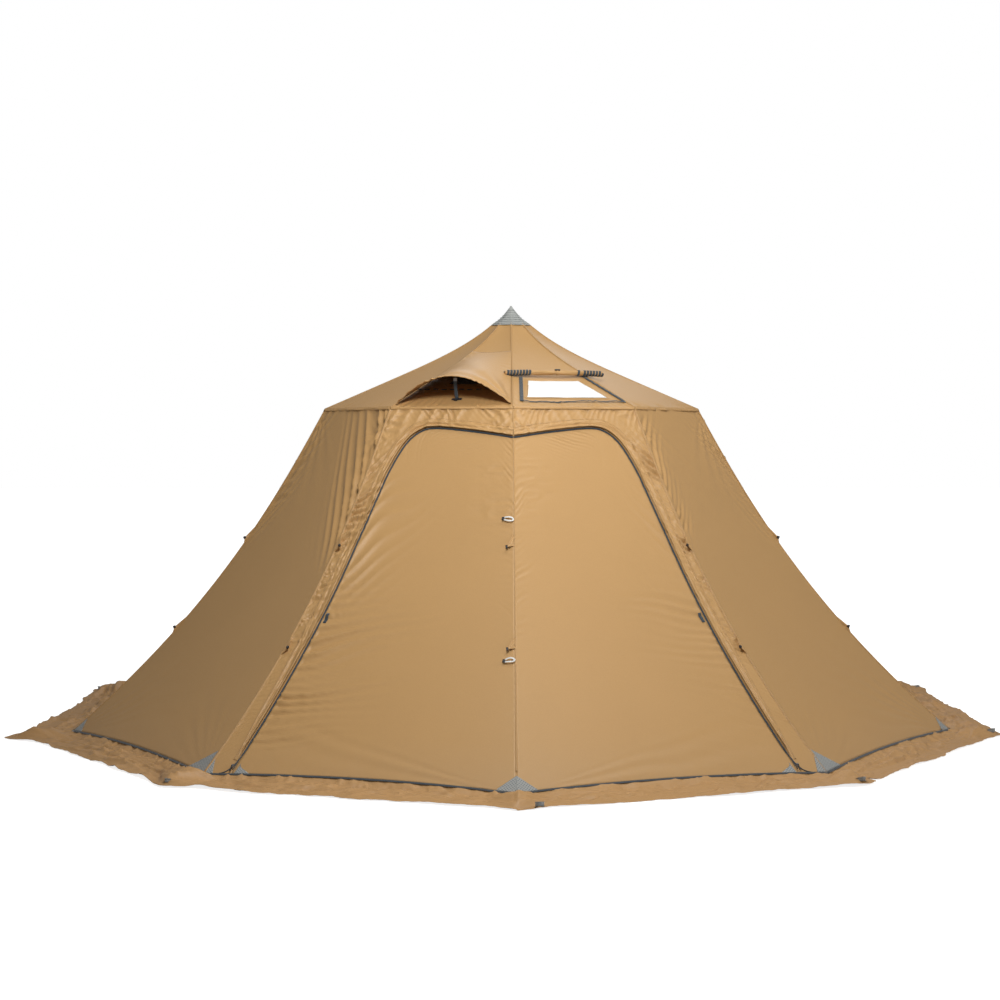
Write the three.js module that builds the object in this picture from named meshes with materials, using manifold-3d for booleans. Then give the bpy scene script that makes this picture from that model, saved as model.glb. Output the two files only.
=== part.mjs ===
// Ten-sided bell tent: telescoping mast, eave ring, two door leaves, roof vent and roof window.
// Millimetres, +Z up, origin under the mast foot, door side towards -Y.
import * as THREE from 'three';
import { mergeVertices } from 'three/addons/utils/BufferGeometryUtils.js';
import Module from 'manifold-3d';

const wasm = await Module();
wasm.setup();

// Driving dimensions
const SIDES = 10;
const BASE_RADIUS = 3000;
const EAVE_RADIUS = 1313;
const EAVE_HEIGHT = 2095;
const APEX_HEIGHT = 2820;
const SKIRT_RADIUS = 3290;
const SKIRT_THICKNESS = 4;
const CLOTH = 2.4;
const SEAM_GAP = 0.6;
const WALL_STEPS = 12;
const ROOF_STEPS = 11;
const WALL_FOOT = 4;
const ROOF_LIFT = 5;
const ROOF_EDGE_RADIUS = EAVE_RADIUS - CLOTH - 2;
const CAP_RADIUS = 142;
const CAP_LAP = 18;
const CAP_LIFT = 3.4;

const TUBE_OUTER = 19;
const TUBE_BORE = 16.4;
const INNER_TUBE = 16;
const INNER_BORE = 13.5;
const FOOT_TREAD = 9;
const FOOT_SOCKET = 60;
const FOOT_SLEEVE = 20.5;
const CLAMP_HEIGHT = 950;
const CLAMP_TALL = 58;
const CLAMP_SHOULDER = 4;
const CLAMP_BODY = 27;
const CLAMP_NECK = 24;
const TUBE_SEAT = 12;
const TUBE_OVERLAP = 480;
const FIT = 0.4;
const CROWN_SHOULDER = 2700;
const CROWN_PLUG = 40;
const CROWN_DOME = [[30, 2754], [24, 2778], [12, 2798], [0, 2806]];

const LEVER_CAM = 11;
const LEVER_DROP = 76;
const LEVER_TIP = 4;
const LEVER_WIDE = 18;
const LEVER_PIVOT = [39, 32];

const RING_TUBE = 5.5;
const RING_RADIUS = EAVE_RADIUS - 26;
const RING_HEIGHT = EAVE_HEIGHT - 26;
const RING_CORNER = 8;
const CORNER_LEG = 60;
const CORNER_GAP = 0.5;

const LEAF_SEAM_STRIP = 40;
const ZIP_GAP = 2;
const LEAF_FOOT = 12;
const ZIP_FOOT_SHARE = 0.912;
const SLIDER_HEIGHT = 70;
const SLIDER_OFFSET = 14;
const SLIDER_SIZE = [12, 7, 20];
const SLIDER_PROUD = 6;
const PULL_SIZE = [9, 2, 41];
const PULL_PROUD = 11.2;
const PULL_DROP = 17;

const HOOD_RISE = 172;
const HOOD_CLEAR = 6;
const HOOD_SEAM = 431;
const HOOD_MOUTH = 1195;
const HOOD_CORNER = 1216;
const HOOD_SEAM_ALLOWANCE = 0.97;
const PAD_SIZE = [62, 30, 3];
const PAD_LIFT = 2.4;
const PROP_FOOT = 1140;
const PROP_SECTION = [22, 6];
const PROP_LENGTH = 142;
const PROP_LIFT = 4.4;
const ROLL_RADIUS = 14;
const ROLL_LENGTH = 630;
const ROLL_OUTWARD = 804;
const ROLL_LIFT = 13;
const ROLL_SHIFT = [44, 14];

const sector = (2 * Math.PI) / SIDES;
const halfSector = sector / 2;
const group = new THREE.Group();

// Finishes
const finish = (color, roughness, metalness = 0) => () =>
  new THREE.MeshStandardMaterial({ color, roughness, metalness });
const tanCloth = finish(0xc19a63, 0.8);
const greyCloth = finish(0x81878a, 0.85);
const darkWebbing = finish(0x3d444a, 0.9);
const aluminium = finish(0xb9bcc0, 0.35, 1);
const blackPlastic = finish(0x1c1d1f, 0.5);
const rubber = finish(0x202020, 0.95);
const film = finish(0xe4e6e2, 0.25);
const netting = finish(0x24272a, 0.9);

function addMesh(name, geometry, material) {
  const mesh = new THREE.Mesh(geometry, material());
  mesh.name = name;
  group.add(mesh);
  return mesh;
}

// Horizontal radius of the wall seams: steep under the eave, flaring out to the ground
function wallRadius(z) {
  const t = Math.max(0, 1 - z / EAVE_HEIGHT);
  return EAVE_RADIUS + (BASE_RADIUS - EAVE_RADIUS) * (0.69 * t + 0.31 * Math.pow(t, 2.6));
}

// Height of the roof ridges: a shallow fall at the eave that steepens to the apex
function roofHeight(r) {
  const q = 1 - r / EAVE_RADIUS;
  const low = EAVE_HEIGHT + ROOF_LIFT;
  return low + (APEX_HEIGHT - low) * (0.785 * q + 0.215 * Math.pow(q, 6));
}

function seamPoint(k, r, z) {
  return new THREE.Vector3(r * Math.sin(k * sector), -r * Math.cos(k * sector), z);
}

// Closed solid between two grids of points, [row][column], outer face first
function slab(outer, inner) {
  const rows = outer.length;
  const columns = outer[0].length;
  const positions = [];
  const index = [];
  for (const grid of [outer, inner]) {
    for (const row of grid) {
      for (const p of row) positions.push(p.x, p.y, p.z);
    }
  }
  const at = (side, i, j) => side * rows * columns + i * columns + j;
  const quad = (a, b, c, d) => index.push(a, b, c, a, c, d);
  for (let i = 0; i < rows - 1; i += 1) {
    for (let j = 0; j < columns - 1; j += 1) {
      quad(at(0, i, j), at(0, i, j + 1), at(0, i + 1, j + 1), at(0, i + 1, j));
      quad(at(1, i, j), at(1, i + 1, j), at(1, i + 1, j + 1), at(1, i, j + 1));
    }
    quad(at(0, i, 0), at(0, i + 1, 0), at(1, i + 1, 0), at(1, i, 0));
    const last = columns - 1;
    quad(at(0, i, last), at(1, i, last), at(1, i + 1, last), at(0, i + 1, last));
  }
  for (let j = 0; j < columns - 1; j += 1) {
    quad(at(0, 0, j), at(1, 0, j), at(1, 0, j + 1), at(0, 0, j + 1));
    const top = rows - 1;
    quad(at(0, top, j), at(0, top, j + 1), at(1, top, j + 1), at(1, top, j));
  }
  const geometry = new THREE.BufferGeometry();
  geometry.setAttribute('position', new THREE.Float32BufferAttribute(positions, 3));
  geometry.setIndex(index);
  return geometry;
}

// Panel between seam k and seam k + 1; profile gives [radius, height] from the low edge up,
// and inset gives how far the inner face lies inside the outer one, along the radius and in height
function panel(k, profile, inset) {
  const face = (shift) =>
    profile.map(([r, z]) => {
      const radius = r - shift * inset[0];
      const height = z - shift * inset[1];
      const a = seamPoint(k, radius, height);
      const b = seamPoint(k + 1, radius, height);
      const edge = SEAM_GAP / a.distanceTo(b);
      return [a.clone().lerp(b, edge), b.clone().lerp(a, edge)];
    });
  return slab(face(0), face(1));
}

// Booleans
function toSolid(geometry) {
  const plain = geometry.clone();
  plain.deleteAttribute('normal');
  plain.deleteAttribute('uv');
  const merged = mergeVertices(plain, 1e-4);
  return new wasm.Manifold(
    new wasm.Mesh({
      numProp: 3,
      vertProperties: new Float32Array(merged.attributes.position.array),
      triVerts: new Uint32Array(merged.index.array),
    }),
  );
}

function toGeometry(solid) {
  const mesh = solid.getMesh();
  const geometry = new THREE.BufferGeometry();
  geometry.setAttribute('position', new THREE.BufferAttribute(new Float32Array(mesh.vertProperties), 3));
  geometry.setIndex(new THREE.BufferAttribute(new Uint32Array(mesh.triVerts), 1));
  return geometry;
}

const cut = (a, b) => toGeometry(toSolid(a).subtract(toSolid(b)));
const keep = (a, b) => toGeometry(toSolid(a).intersect(toSolid(b)));

// Turned pieces: profile in [radius, height], closed on the axis or on itself
function turned(profile, segments = 24) {
  const points = profile.map(([r, z]) => new THREE.Vector2(r, z));
  const geometry = new THREE.LatheGeometry(points, segments);
  geometry.rotateX(Math.PI / 2);
  return geometry;
}

// Mast: rubber foot, inner tube below, outer tube above with its clamp and crown
function buildMast() {
  addMesh('mast_foot', turned([
    [0, 0], [34, 0], [36, 4], [30, 12], [21, 18],
    [FOOT_SLEEVE, FOOT_SOCKET], [TUBE_BORE, FOOT_SOCKET],
    [TUBE_BORE, FOOT_TREAD], [0, FOOT_TREAD],
  ]), rubber);

  const base = FOOT_TREAD + FIT;
  const innerTop = CLAMP_HEIGHT + TUBE_OVERLAP;
  const endWall = 4.6;
  addMesh('mast_lower_tube', turned([
    [0, base], [INNER_TUBE, base], [INNER_TUBE, innerTop],
    [INNER_BORE, innerTop], [INNER_BORE, base + endWall], [0, base + endWall],
  ]), aluminium);

  const outerFoot = CLAMP_HEIGHT + TUBE_SEAT;
  addMesh('mast_upper_tube', turned([
    [TUBE_BORE, outerFoot], [TUBE_OUTER, outerFoot], [TUBE_OUTER, CROWN_SHOULDER],
    [TUBE_BORE, CROWN_SHOULDER], [TUBE_BORE, outerFoot],
  ]), aluminium);

  const clampTop = CLAMP_HEIGHT + CLAMP_TALL;
  const seat = outerFoot - FIT;
  addMesh('mast_clamp', turned([
    [TUBE_BORE, CLAMP_HEIGHT], [CLAMP_NECK, CLAMP_HEIGHT],
    [CLAMP_BODY, CLAMP_HEIGHT + CLAMP_SHOULDER], [CLAMP_BODY, clampTop - CLAMP_SHOULDER],
    [CLAMP_NECK, clampTop], [TUBE_OUTER + FIT, clampTop], [TUBE_OUTER + FIT, seat],
    [TUBE_BORE, seat], [TUBE_BORE, CLAMP_HEIGHT],
  ]), blackPlastic);

  const plug = TUBE_BORE - 0.5;
  const shoulder = CROWN_SHOULDER + FIT;
  addMesh('mast_crown', turned([
    [0, CROWN_SHOULDER - CROWN_PLUG], [plug, CROWN_SHOULDER - CROWN_PLUG], [plug, shoulder],
    [28, shoulder], [30, CROWN_SHOULDER + 4], ...CROWN_DOME,
  ]), blackPlastic);
  addMesh('clamp_lever', clampLever(), blackPlastic);
}

// Cam lever beside the clamp: a round cam with a flat handle that hangs down the mast
function clampLever() {
  const outline = new THREE.Shape();
  outline.absarc(0, 0, LEVER_CAM, 0, 1.5 * Math.PI, false);
  outline.lineTo(2, -LEVER_DROP);
  outline.absarc(2 + LEVER_TIP, -LEVER_DROP, LEVER_TIP, Math.PI, 2 * Math.PI, false);
  outline.lineTo(LEVER_CAM, 0);
  const geometry = new THREE.ExtrudeGeometry(outline, {
    depth: LEVER_WIDE,
    bevelEnabled: false,
    curveSegments: 6,
  });
  geometry.translate(0, 0, -LEVER_WIDE / 2);
  geometry.rotateX(Math.PI / 2);
  geometry.translate(LEVER_PIVOT[0], 0, CLAMP_HEIGHT + LEVER_PIVOT[1]);
  return geometry;
}

// Eave ring: straight tubes along the eave, joined by angled corner sockets
function buildEaveRing() {
  const reach = 2 * RING_RADIUS * Math.sin(halfSector);
  for (let k = 0; k < SIDES; k += 1) {
    const holder = new THREE.Group();
    holder.rotation.z = (k + 0.5) * sector;
    const length = reach - 2 * (CORNER_LEG + CORNER_GAP);
    const tube = new THREE.CylinderGeometry(RING_TUBE, RING_TUBE, length, 12);
    tube.rotateZ(Math.PI / 2);
    tube.translate(0, -RING_RADIUS * Math.cos(halfSector), RING_HEIGHT);
    holder.add(addMesh(`eave_tube_${k}`, tube, aluminium));
    group.add(holder);
    addMesh(`eave_corner_${k}`, eaveCorner(k), blackPlastic);
  }
}

function eaveCorner(k) {
  const corner = seamPoint(k, RING_RADIUS, RING_HEIGHT);
  const toward = (other) => {
    const end = seamPoint(other, RING_RADIUS, RING_HEIGHT);
    return corner.clone().add(end.sub(corner).setLength(CORNER_LEG));
  };
  const path = new THREE.CatmullRomCurve3([
    toward(k - 1),
    corner.clone().lerp(toward(k - 1), 0.5),
    corner,
    corner.clone().lerp(toward(k + 1), 0.5),
    toward(k + 1),
  ]);
  const section = new THREE.Shape();
  section.absarc(0, 0, RING_CORNER, 0, 2 * Math.PI, false);
  return new THREE.ExtrudeGeometry(section, { steps: 8, curveSegments: 5, extrudePath: path });
}

// Walls
function wallProfile() {
  const rows = [];
  for (let i = 0; i <= WALL_STEPS; i += 1) {
    const z = THREE.MathUtils.lerp(WALL_FOOT, EAVE_HEIGHT, i / WALL_STEPS);
    rows.push([wallRadius(z), z]);
  }
  return rows;
}

const wallSheet = (k) => panel(k, wallProfile(), [CLOTH, 0]);

// Outer edge of one door leaf, from the ground to the centre seam:
// [share of the panel's width from the centre seam, height]
const doorEdge = new THREE.SplineCurve([
  [ZIP_FOOT_SHARE, -40], [0.908, 500], [0.896, 1000], [0.886, 1300], [0.868, 1540], [0.842, 1720],
  [0.785, 1870], [0.7, 1945], [0.58, 1966], [0.3, 1945], [0, 1908],
].map(([u, z]) => new THREE.Vector2(u, z)));

// Prism through a front panel, in the panel's own frame: X across it, Y through it;
// side is 1 for the panel right of the centre seam and -1 for the one left of it
function doorPrism(side, margin, foot) {
  const rows = 14;
  const reach = [1000, 2200];
  const width = (z) => 2 * wallRadius(z) * Math.sin(halfSector);
  const across = (u, z) => (u - 0.5) * width(z);
  const outline = doorEdge.getPoints(60).map(({ x: u, y: z }) => [across(u, z) + margin, z + margin]);
  const seamX = (z) => -width(z) / 2 + LEAF_SEAM_STRIP - margin;
  const inside = outline.filter(([x, z]) => x > seamX(z) && z > foot);
  const last = inside[inside.length - 1];
  const next = outline[outline.indexOf(last) + 1];
  const share = (last[0] - seamX(last[1])) / (last[0] - next[0]);
  const topZ = THREE.MathUtils.lerp(last[1], next[1], share);
  const edge = [[inside[0][0], foot], ...inside];
  for (let i = 0; i <= rows; i += 1) {
    const z = THREE.MathUtils.lerp(topZ, foot, i / rows);
    edge.push([seamX(z), z]);
  }
  const shape = new THREE.Shape(edge.map(([x, z]) => new THREE.Vector2(side * x, z)));
  const geometry = new THREE.ExtrudeGeometry(shape, { depth: reach[1], bevelEnabled: false });
  geometry.rotateX(Math.PI / 2);
  geometry.translate(0, -reach[0], 0);
  geometry.rotateZ((side * sector) / 2);
  return geometry;
}

function buildWalls() {
  for (let k = 1; k < SIDES - 1; k += 1) {
    addMesh(`wall_panel_${k}`, wallSheet(k), tanCloth);
  }
  const belowGround = -60;
  for (const [name, k, side] of [['right', 0, 1], ['left', SIDES - 1, -1]]) {
    const sheet = wallSheet(k);
    addMesh(`wall_front_${name}`, cut(sheet, doorPrism(side, ZIP_GAP, belowGround)), tanCloth);
    addMesh(`door_leaf_${name}`, keep(sheet, doorPrism(side, -ZIP_GAP, LEAF_FOOT)), tanCloth);
  }
}

// Snow skirt: a flat ten-sided ring on the ground around the wall's foot
function buildSkirt() {
  const inner = wallRadius(SKIRT_THICKNESS) + 2;
  addMesh('snow_skirt', turned([
    [inner, 0], [SKIRT_RADIUS, 0], [SKIRT_RADIUS, SKIRT_THICKNESS], [inner, SKIRT_THICKNESS], [inner, 0],
  ], SIDES), tanCloth);
}

// Roof
function roofProfile(high) {
  const rows = [];
  for (let i = 0; i <= ROOF_STEPS; i += 1) {
    const r = THREE.MathUtils.lerp(high, ROOF_EDGE_RADIUS, Math.pow(1 - i / ROOF_STEPS, 1.7));
    rows.push([r, roofHeight(r)]);
  }
  return rows;
}

const roofSheet = (k) => panel(k, roofProfile(CAP_RADIUS - CAP_LAP), [0.6, CLOTH]);

// Upright prism over a roof gore, from an outline of [across, outward] in the gore's own frame
function gorePrism(k, outline, margin) {
  const count = outline.length;
  const middle = outline.reduce(([a, b], [x, y]) => [a + x / count, b + y / count], [0, 0]);
  const grown = outline.map(([x, y]) => {
    const away = new THREE.Vector2(x - middle[0], y - middle[1]);
    away.setLength(away.length() + margin);
    return new THREE.Vector2(middle[0] + away.x, -(middle[1] + away.y));
  });
  const [from, tall] = [1900, 1200];
  const geometry = new THREE.ExtrudeGeometry(new THREE.Shape(grown), { depth: tall, bevelEnabled: false });
  geometry.translate(0, 0, from);
  geometry.rotateZ((k + 0.5) * sector);
  return geometry;
}

// Openings in the front gores: [across, outward from the mast]
const JACK = [[-268, 1112], [268, 1112], [171, 858], [-171, 858]];
const VENT = [[-150, 915], [150, 915], [100, 690], [-100, 690]];

function buildRoof() {
  for (let k = 1; k < SIDES - 1; k += 1) {
    addMesh(`roof_gore_${k}`, roofSheet(k), tanCloth);
  }
  addMesh('roof_gore_0', cut(roofSheet(0), gorePrism(0, JACK, 0)), tanCloth);
  addMesh('stove_jack_panel', keep(roofSheet(0), gorePrism(0, JACK, -1)), film);
  addMesh('roof_gore_9', cut(roofSheet(SIDES - 1), gorePrism(SIDES - 1, VENT, 0)), tanCloth);
  addMesh('vent_mesh', keep(roofSheet(SIDES - 1), gorePrism(SIDES - 1, VENT, -1)), netting);
  addMesh('apex_cap', apexCap(), greyCloth);
}

// Ten-sided cloth cone over the upper ends of the gores
function apexCap() {
  const steps = 6;
  const outer = [];
  const inner = [];
  for (let i = 0; i <= steps; i += 1) {
    const r = (CAP_RADIUS * i) / steps;
    const top = Math.min(roofHeight(r) + CAP_LIFT, APEX_HEIGHT);
    outer.unshift([r, top]);
    inner.push([i === 0 ? 0 : r - 0.8, top - 1.8]);
  }
  return turned([...inner, ...outer], SIDES);
}

// Roof point in a gore's own frame: across the gore, outward from the mast
function gorePoint(k, across, outward, lift) {
  const ridge = outward / Math.cos(halfSector);
  const p = new THREE.Vector3(across, -outward, roofHeight(ridge) + lift);
  return p.applyAxisAngle(new THREE.Vector3(0, 0, 1), (k + 0.5) * sector);
}

// Vent: arched hood sewn to the roof on its high side, held open by a strut on a pad
function buildVent() {
  const k = SIDES - 1;
  addMesh('vent_hood', ventHood(k), tanCloth);

  const slope = Math.atan((roofHeight(PROP_FOOT - 50) - roofHeight(PROP_FOOT + 50)) / 100);
  const tilt = new THREE.Matrix4().makeRotationX(slope);
  const turn = new THREE.Matrix4().makeRotationZ((k + 0.5) * sector);
  const foot = gorePoint(k, 0, PROP_FOOT, 0);
  const place = (geometry) => {
    geometry.applyMatrix4(tilt);
    geometry.applyMatrix4(turn);
    geometry.translate(foot.x, foot.y, foot.z);
    return geometry;
  };
  const pad = new THREE.BoxGeometry(...PAD_SIZE);
  pad.translate(0, 0, PAD_LIFT);
  addMesh('vent_prop_pad', place(pad), darkWebbing);
  const prop = new THREE.BoxGeometry(...PROP_SECTION, PROP_LENGTH);
  prop.translate(0, 0, PROP_LIFT + PROP_LENGTH / 2);
  addMesh('vent_prop', place(prop), darkWebbing);
}

function ventHood(k) {
  const rows = 8;
  const columns = 12;
  const face = (shift) => {
    const grid = [];
    for (let i = 0; i <= rows; i += 1) {
      const t = 1 - i / rows;
      const line = [];
      for (let j = 0; j <= columns; j += 1) {
        const v = (2 * j) / columns - 1;
        const arch = 1 - v * v;
        const low = THREE.MathUtils.lerp(HOOD_CORNER, HOOD_MOUTH, arch);
        const outward = THREE.MathUtils.lerp(HOOD_SEAM, low, t);
        const half = HOOD_SEAM_ALLOWANCE * outward * Math.tan(halfSector);
        const lift = HOOD_CLEAR + HOOD_RISE * arch * Math.pow(t, 0.9);
        line.push(gorePoint(k, v * half, outward, lift - shift));
      }
      grid.push(line);
    }
    return grid;
  };
  return slab(face(0), face(CLOTH));
}

// Window cover, rolled up and tied above the window
function buildCoverRoll() {
  const roll = new THREE.CylinderGeometry(ROLL_RADIUS, ROLL_RADIUS, ROLL_LENGTH, 16);
  roll.rotateZ(Math.PI / 2);
  roll.rotateZ(halfSector);
  const place = gorePoint(0, 0, ROLL_OUTWARD, ROLL_RADIUS + ROLL_LIFT);
  roll.translate(place.x + ROLL_SHIFT[0], place.y + ROLL_SHIFT[1], place.z);
  addMesh('stove_jack_cover', roll, tanCloth);
}

// Zip sliders and their pulls, parked at the foot of each door zip
function buildZipSliders() {
  const z = SLIDER_HEIGHT;
  const run = 40;
  const lean = Math.atan((wallRadius(z) - wallRadius(z + run)) / run);
  const apothem = wallRadius(z) * Math.cos(halfSector);
  const panelWidth = 2 * wallRadius(z) * Math.sin(halfSector);
  for (const [name, side] of [['right', 1], ['left', -1]]) {
    const across = side * ((ZIP_FOOT_SHARE - 0.5) * panelWidth + SLIDER_OFFSET);
    const place = (geometry) => {
      geometry.rotateX(-lean);
      geometry.translate(across, -apothem, z);
      geometry.rotateZ((side * sector) / 2);
      return geometry;
    };
    const body = new THREE.BoxGeometry(...SLIDER_SIZE);
    body.translate(0, -SLIDER_PROUD, 0);
    addMesh(`zip_slider_${name}`, place(body), darkWebbing);
    const tab = new THREE.BoxGeometry(...PULL_SIZE);
    tab.translate(0, -PULL_PROUD, -PULL_DROP);
    addMesh(`zip_pull_${name}`, place(tab), darkWebbing);
  }
}

buildMast();
buildEaveRing();
buildWalls();
buildSkirt();
buildRoof();
buildVent();
buildCoverRoll();
buildZipSliders();

export default group;
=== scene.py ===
"""Ten-sided bell tent: cloth, seams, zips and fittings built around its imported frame, in metres."""

import logging
import math
from dataclasses import dataclass, replace
from enum import Enum
from typing import Sequence

import bpy
import numpy as np
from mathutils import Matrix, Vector


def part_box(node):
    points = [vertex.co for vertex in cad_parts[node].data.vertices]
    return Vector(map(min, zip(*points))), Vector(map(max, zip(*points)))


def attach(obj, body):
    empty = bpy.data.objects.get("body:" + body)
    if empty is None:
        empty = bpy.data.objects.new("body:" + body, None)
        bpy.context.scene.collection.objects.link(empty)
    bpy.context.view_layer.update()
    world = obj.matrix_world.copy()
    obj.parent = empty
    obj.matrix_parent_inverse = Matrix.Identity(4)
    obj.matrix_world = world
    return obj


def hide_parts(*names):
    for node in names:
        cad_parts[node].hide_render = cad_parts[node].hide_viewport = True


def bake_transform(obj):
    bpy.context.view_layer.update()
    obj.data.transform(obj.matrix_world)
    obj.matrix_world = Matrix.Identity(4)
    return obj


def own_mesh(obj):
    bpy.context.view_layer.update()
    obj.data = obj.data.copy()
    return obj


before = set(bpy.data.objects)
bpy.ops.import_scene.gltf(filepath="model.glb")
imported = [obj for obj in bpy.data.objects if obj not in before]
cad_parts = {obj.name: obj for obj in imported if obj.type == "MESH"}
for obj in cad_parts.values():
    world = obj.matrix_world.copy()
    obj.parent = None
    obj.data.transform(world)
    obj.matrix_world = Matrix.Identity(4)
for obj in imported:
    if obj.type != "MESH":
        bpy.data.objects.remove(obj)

LOG = logging.getLogger("bell_tent")
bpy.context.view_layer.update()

CLOTH_THICKNESS = 0.0009

Array = np.ndarray
Section = Sequence[tuple[float, float]]
Part = tuple[Array, Array | list, Array | None]
Piece = bpy.types.Object
Tree = bpy.types.NodeTree
Node = bpy.types.Node
Socket = bpy.types.NodeSocket
UP = np.array([0.0, 0.0, 1.0])


# ---- small maths


def smooth(low: float, high: float, x: Array) -> Array:
    """Smooth step from 0 at low to 1 at high."""
    t = np.clip((np.asarray(x, float) - low) / (high - low), 0.0, 1.0)
    return t * t * (3.0 - 2.0 * t)


def steps_down(count: int) -> Array:
    """Even steps from 0 to 1, down the rows of a grid."""
    return np.linspace(0, 1, count)[:, None]


def steps_along(count: int) -> Array:
    """Even steps from 0 to 1, along each row of a grid."""
    return np.linspace(0, 1, count)[None, :]


def together(*parts: Array) -> Array:
    """Coordinates side by side in a new last axis."""
    return np.stack(np.broadcast_arrays(*parts), -1)


def noise(x: Array, y: Array, seed: int) -> Array:
    """Smooth value noise from 0 to 1 on a unit lattice.

    Args:
        x: First coordinate.
        y: Second coordinate.
        seed: Picks the pattern.

    Returns:
        One value for each point.
    """
    x, y = np.broadcast_arrays(np.asarray(x, float), np.asarray(y, float))
    xi, yi = np.floor(x), np.floor(y)
    fx, fy = x - xi, y - yi
    fx, fy = (t * t * t * (t * (t * 6 - 15) + 10) for t in (fx, fy))

    def corner(a: Array, b: Array) -> Array:
        """Pseudo-random value at a lattice corner."""
        h = np.sin(a * 127.1 + b * 311.7 + seed * 74.7) * 43758.5453
        return h - np.floor(h)

    low = corner(xi, yi) * (1 - fx) + corner(xi + 1, yi) * fx
    high = corner(xi, yi + 1) * (1 - fx) + corner(xi + 1, yi + 1) * fx
    return low * (1 - fy) + high * fy


def crumple(x: Array, y: Array, seed: int, octaves: int = 3) -> Array:
    """Creased noise from about -1 to 1: flat facets that meet in sharp folds.

    Args:
        x: First coordinate.
        y: Second coordinate.
        seed: Picks the pattern.
        octaves: How many finer layers.

    Returns:
        One value for each point.
    """
    total = np.zeros(np.broadcast(x, y).shape)
    scale, weight, whole = 1.0, 1.0, 0.0
    for octave in range(octaves):
        n = noise(x * scale, y * scale, seed + 13 * octave)
        total += weight * (1.0 - np.abs(4.0 * n - 2.0))
        whole += weight
        scale, weight = scale * 2.03, weight * 0.5
    return total / whole


def catmull_rom(points: Section, steps: int) -> Array:
    """Uniform Catmull-Rom curve through the points, with steps spans between the first and the last.

    Args:
        points: Points in order.
        steps: Spans of the finished curve.

    Returns:
        Points, one row each.
    """
    p = np.array(points, float)
    p = np.vstack([p[0], p, p[-1]])
    spans = len(points) - 1
    t = np.linspace(0.0, spans, steps + 1)
    i = np.minimum(t.astype(int), spans - 1)
    f = (t - i)[:, None]
    a, b, c, d = p[i], p[i + 1], p[i + 2], p[i + 3]
    return 0.5 * (2 * b + (c - a) * f + (2 * a - 5 * b + 4 * c - d) * f**2 + (3 * b - a - 3 * c + d) * f**3)


# ---- the tent's form


@dataclass(frozen=True)
class TentForm:
    """Shape of the shell: ten straight-sided panels between curved seams, seam 0 at the front."""

    sides: int = 10
    base: float = 3.0
    eave: float = 1.313
    eave_z: float = 2.095
    roof_edge_z: float = 2.100
    apex_z: float = 2.82

    @property
    def sector(self) -> float:
        """Angle of one panel, in radians."""
        return 2 * math.pi / self.sides

    def wall_radius(self, z: Array) -> Array:
        """Radius of the wall seams at height z."""
        t = np.clip(1.0 - np.asarray(z, float) / self.eave_z, 0.0, None)
        return self.eave + (self.base - self.eave) * (0.69 * t + 0.31 * t**2.6)

    def roof_height(self, r: Array) -> Array:
        """Height of the roof ridges at radius r."""
        q = np.clip(1.0 - np.asarray(r, float) / self.eave, 0.0, None)
        return self.roof_edge_z + (self.apex_z - self.roof_edge_z) * (0.785 * q + 0.215 * q**6)

    def width(self, r: Array) -> Array:
        """Width of a panel where its seams are at radius r."""
        return 2 * np.asarray(r, float) * math.sin(self.sector / 2)

    def axes(self, k: float) -> tuple[Array, Array]:
        """Across and outward directions of panel k, both level."""
        a = (k + 0.5) * self.sector
        return np.array([math.cos(a), math.sin(a), 0.0]), np.array([math.sin(a), -math.cos(a), 0.0])

    def place(self, k: float, across: Array, outward: Array, z: Array) -> Array:
        """Points from a panel's own across, outward and height.

        Args:
            k: Panel, or seam, number.
            across: Level distance from the panel's middle.
            outward: Level distance from the mast.
            z: Height.

        Returns:
            Points, xyz last.
        """
        a, o = self.axes(k)
        across, outward, z = np.broadcast_arrays(across, outward, z)
        return across[..., None] * a + outward[..., None] * o + z[..., None] * UP

    def wall(self, k: float, u: Array, z: Array, lift: Array = 0.0) -> Array:
        """Point on wall panel k: u from seam k to seam k + 1, height z, lifted off the cloth.

        Args:
            k: Panel, or seam, number.
            u: Share across the panel, from seam k.
            z: Height.
            lift: Height off the cloth.

        Returns:
            Points, xyz last.
        """
        z = np.asarray(z, float)
        r = self.wall_radius(z)
        cos = math.cos(self.sector / 2)
        slope = (self.wall_radius(z + 0.002) - self.wall_radius(z - 0.002)) / 0.004 * cos
        size = np.sqrt(1 + slope**2)
        outward = r * cos + lift / size
        return self.place(k, (np.asarray(u) - 0.5) * self.width(r), outward, z - lift * slope / size)

    def roof(self, k: float, u: Array, r: Array, lift: Array = 0.0) -> Array:
        """Point on roof gore k: u from ridge k to ridge k + 1, ridge radius r, lifted off the cloth.

        Args:
            k: Panel, or seam, number.
            u: Share across the panel, from seam k.
            r: Radius of the seams.
            lift: Height off the cloth.

        Returns:
            Points, xyz last.
        """
        r = np.asarray(r, float)
        cos = math.cos(self.sector / 2)
        slope = (self.roof_height(r + 0.001) - self.roof_height(r - 0.001)) / 0.002 / cos
        size = np.sqrt(1 + slope**2)
        outward = r * cos - lift * slope / size
        return self.place(k, (np.asarray(u) - 0.5) * self.width(r), outward,
                          self.roof_height(r) + lift / size)

    def wall_run(self, z: Array) -> Array:
        """Length along a seam from the ground up to height z.

        Args:
            z: Height.

        Returns:
            Lengths.
        """
        zs = np.linspace(0.0, self.eave_z, 200)
        steps = np.hypot(np.diff(zs), np.diff(self.wall_radius(zs)))
        return np.interp(z, zs, np.concatenate([[0.0], np.cumsum(steps)]))


FORM = TentForm()
SKIRT_RADIUS = 3.29


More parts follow.
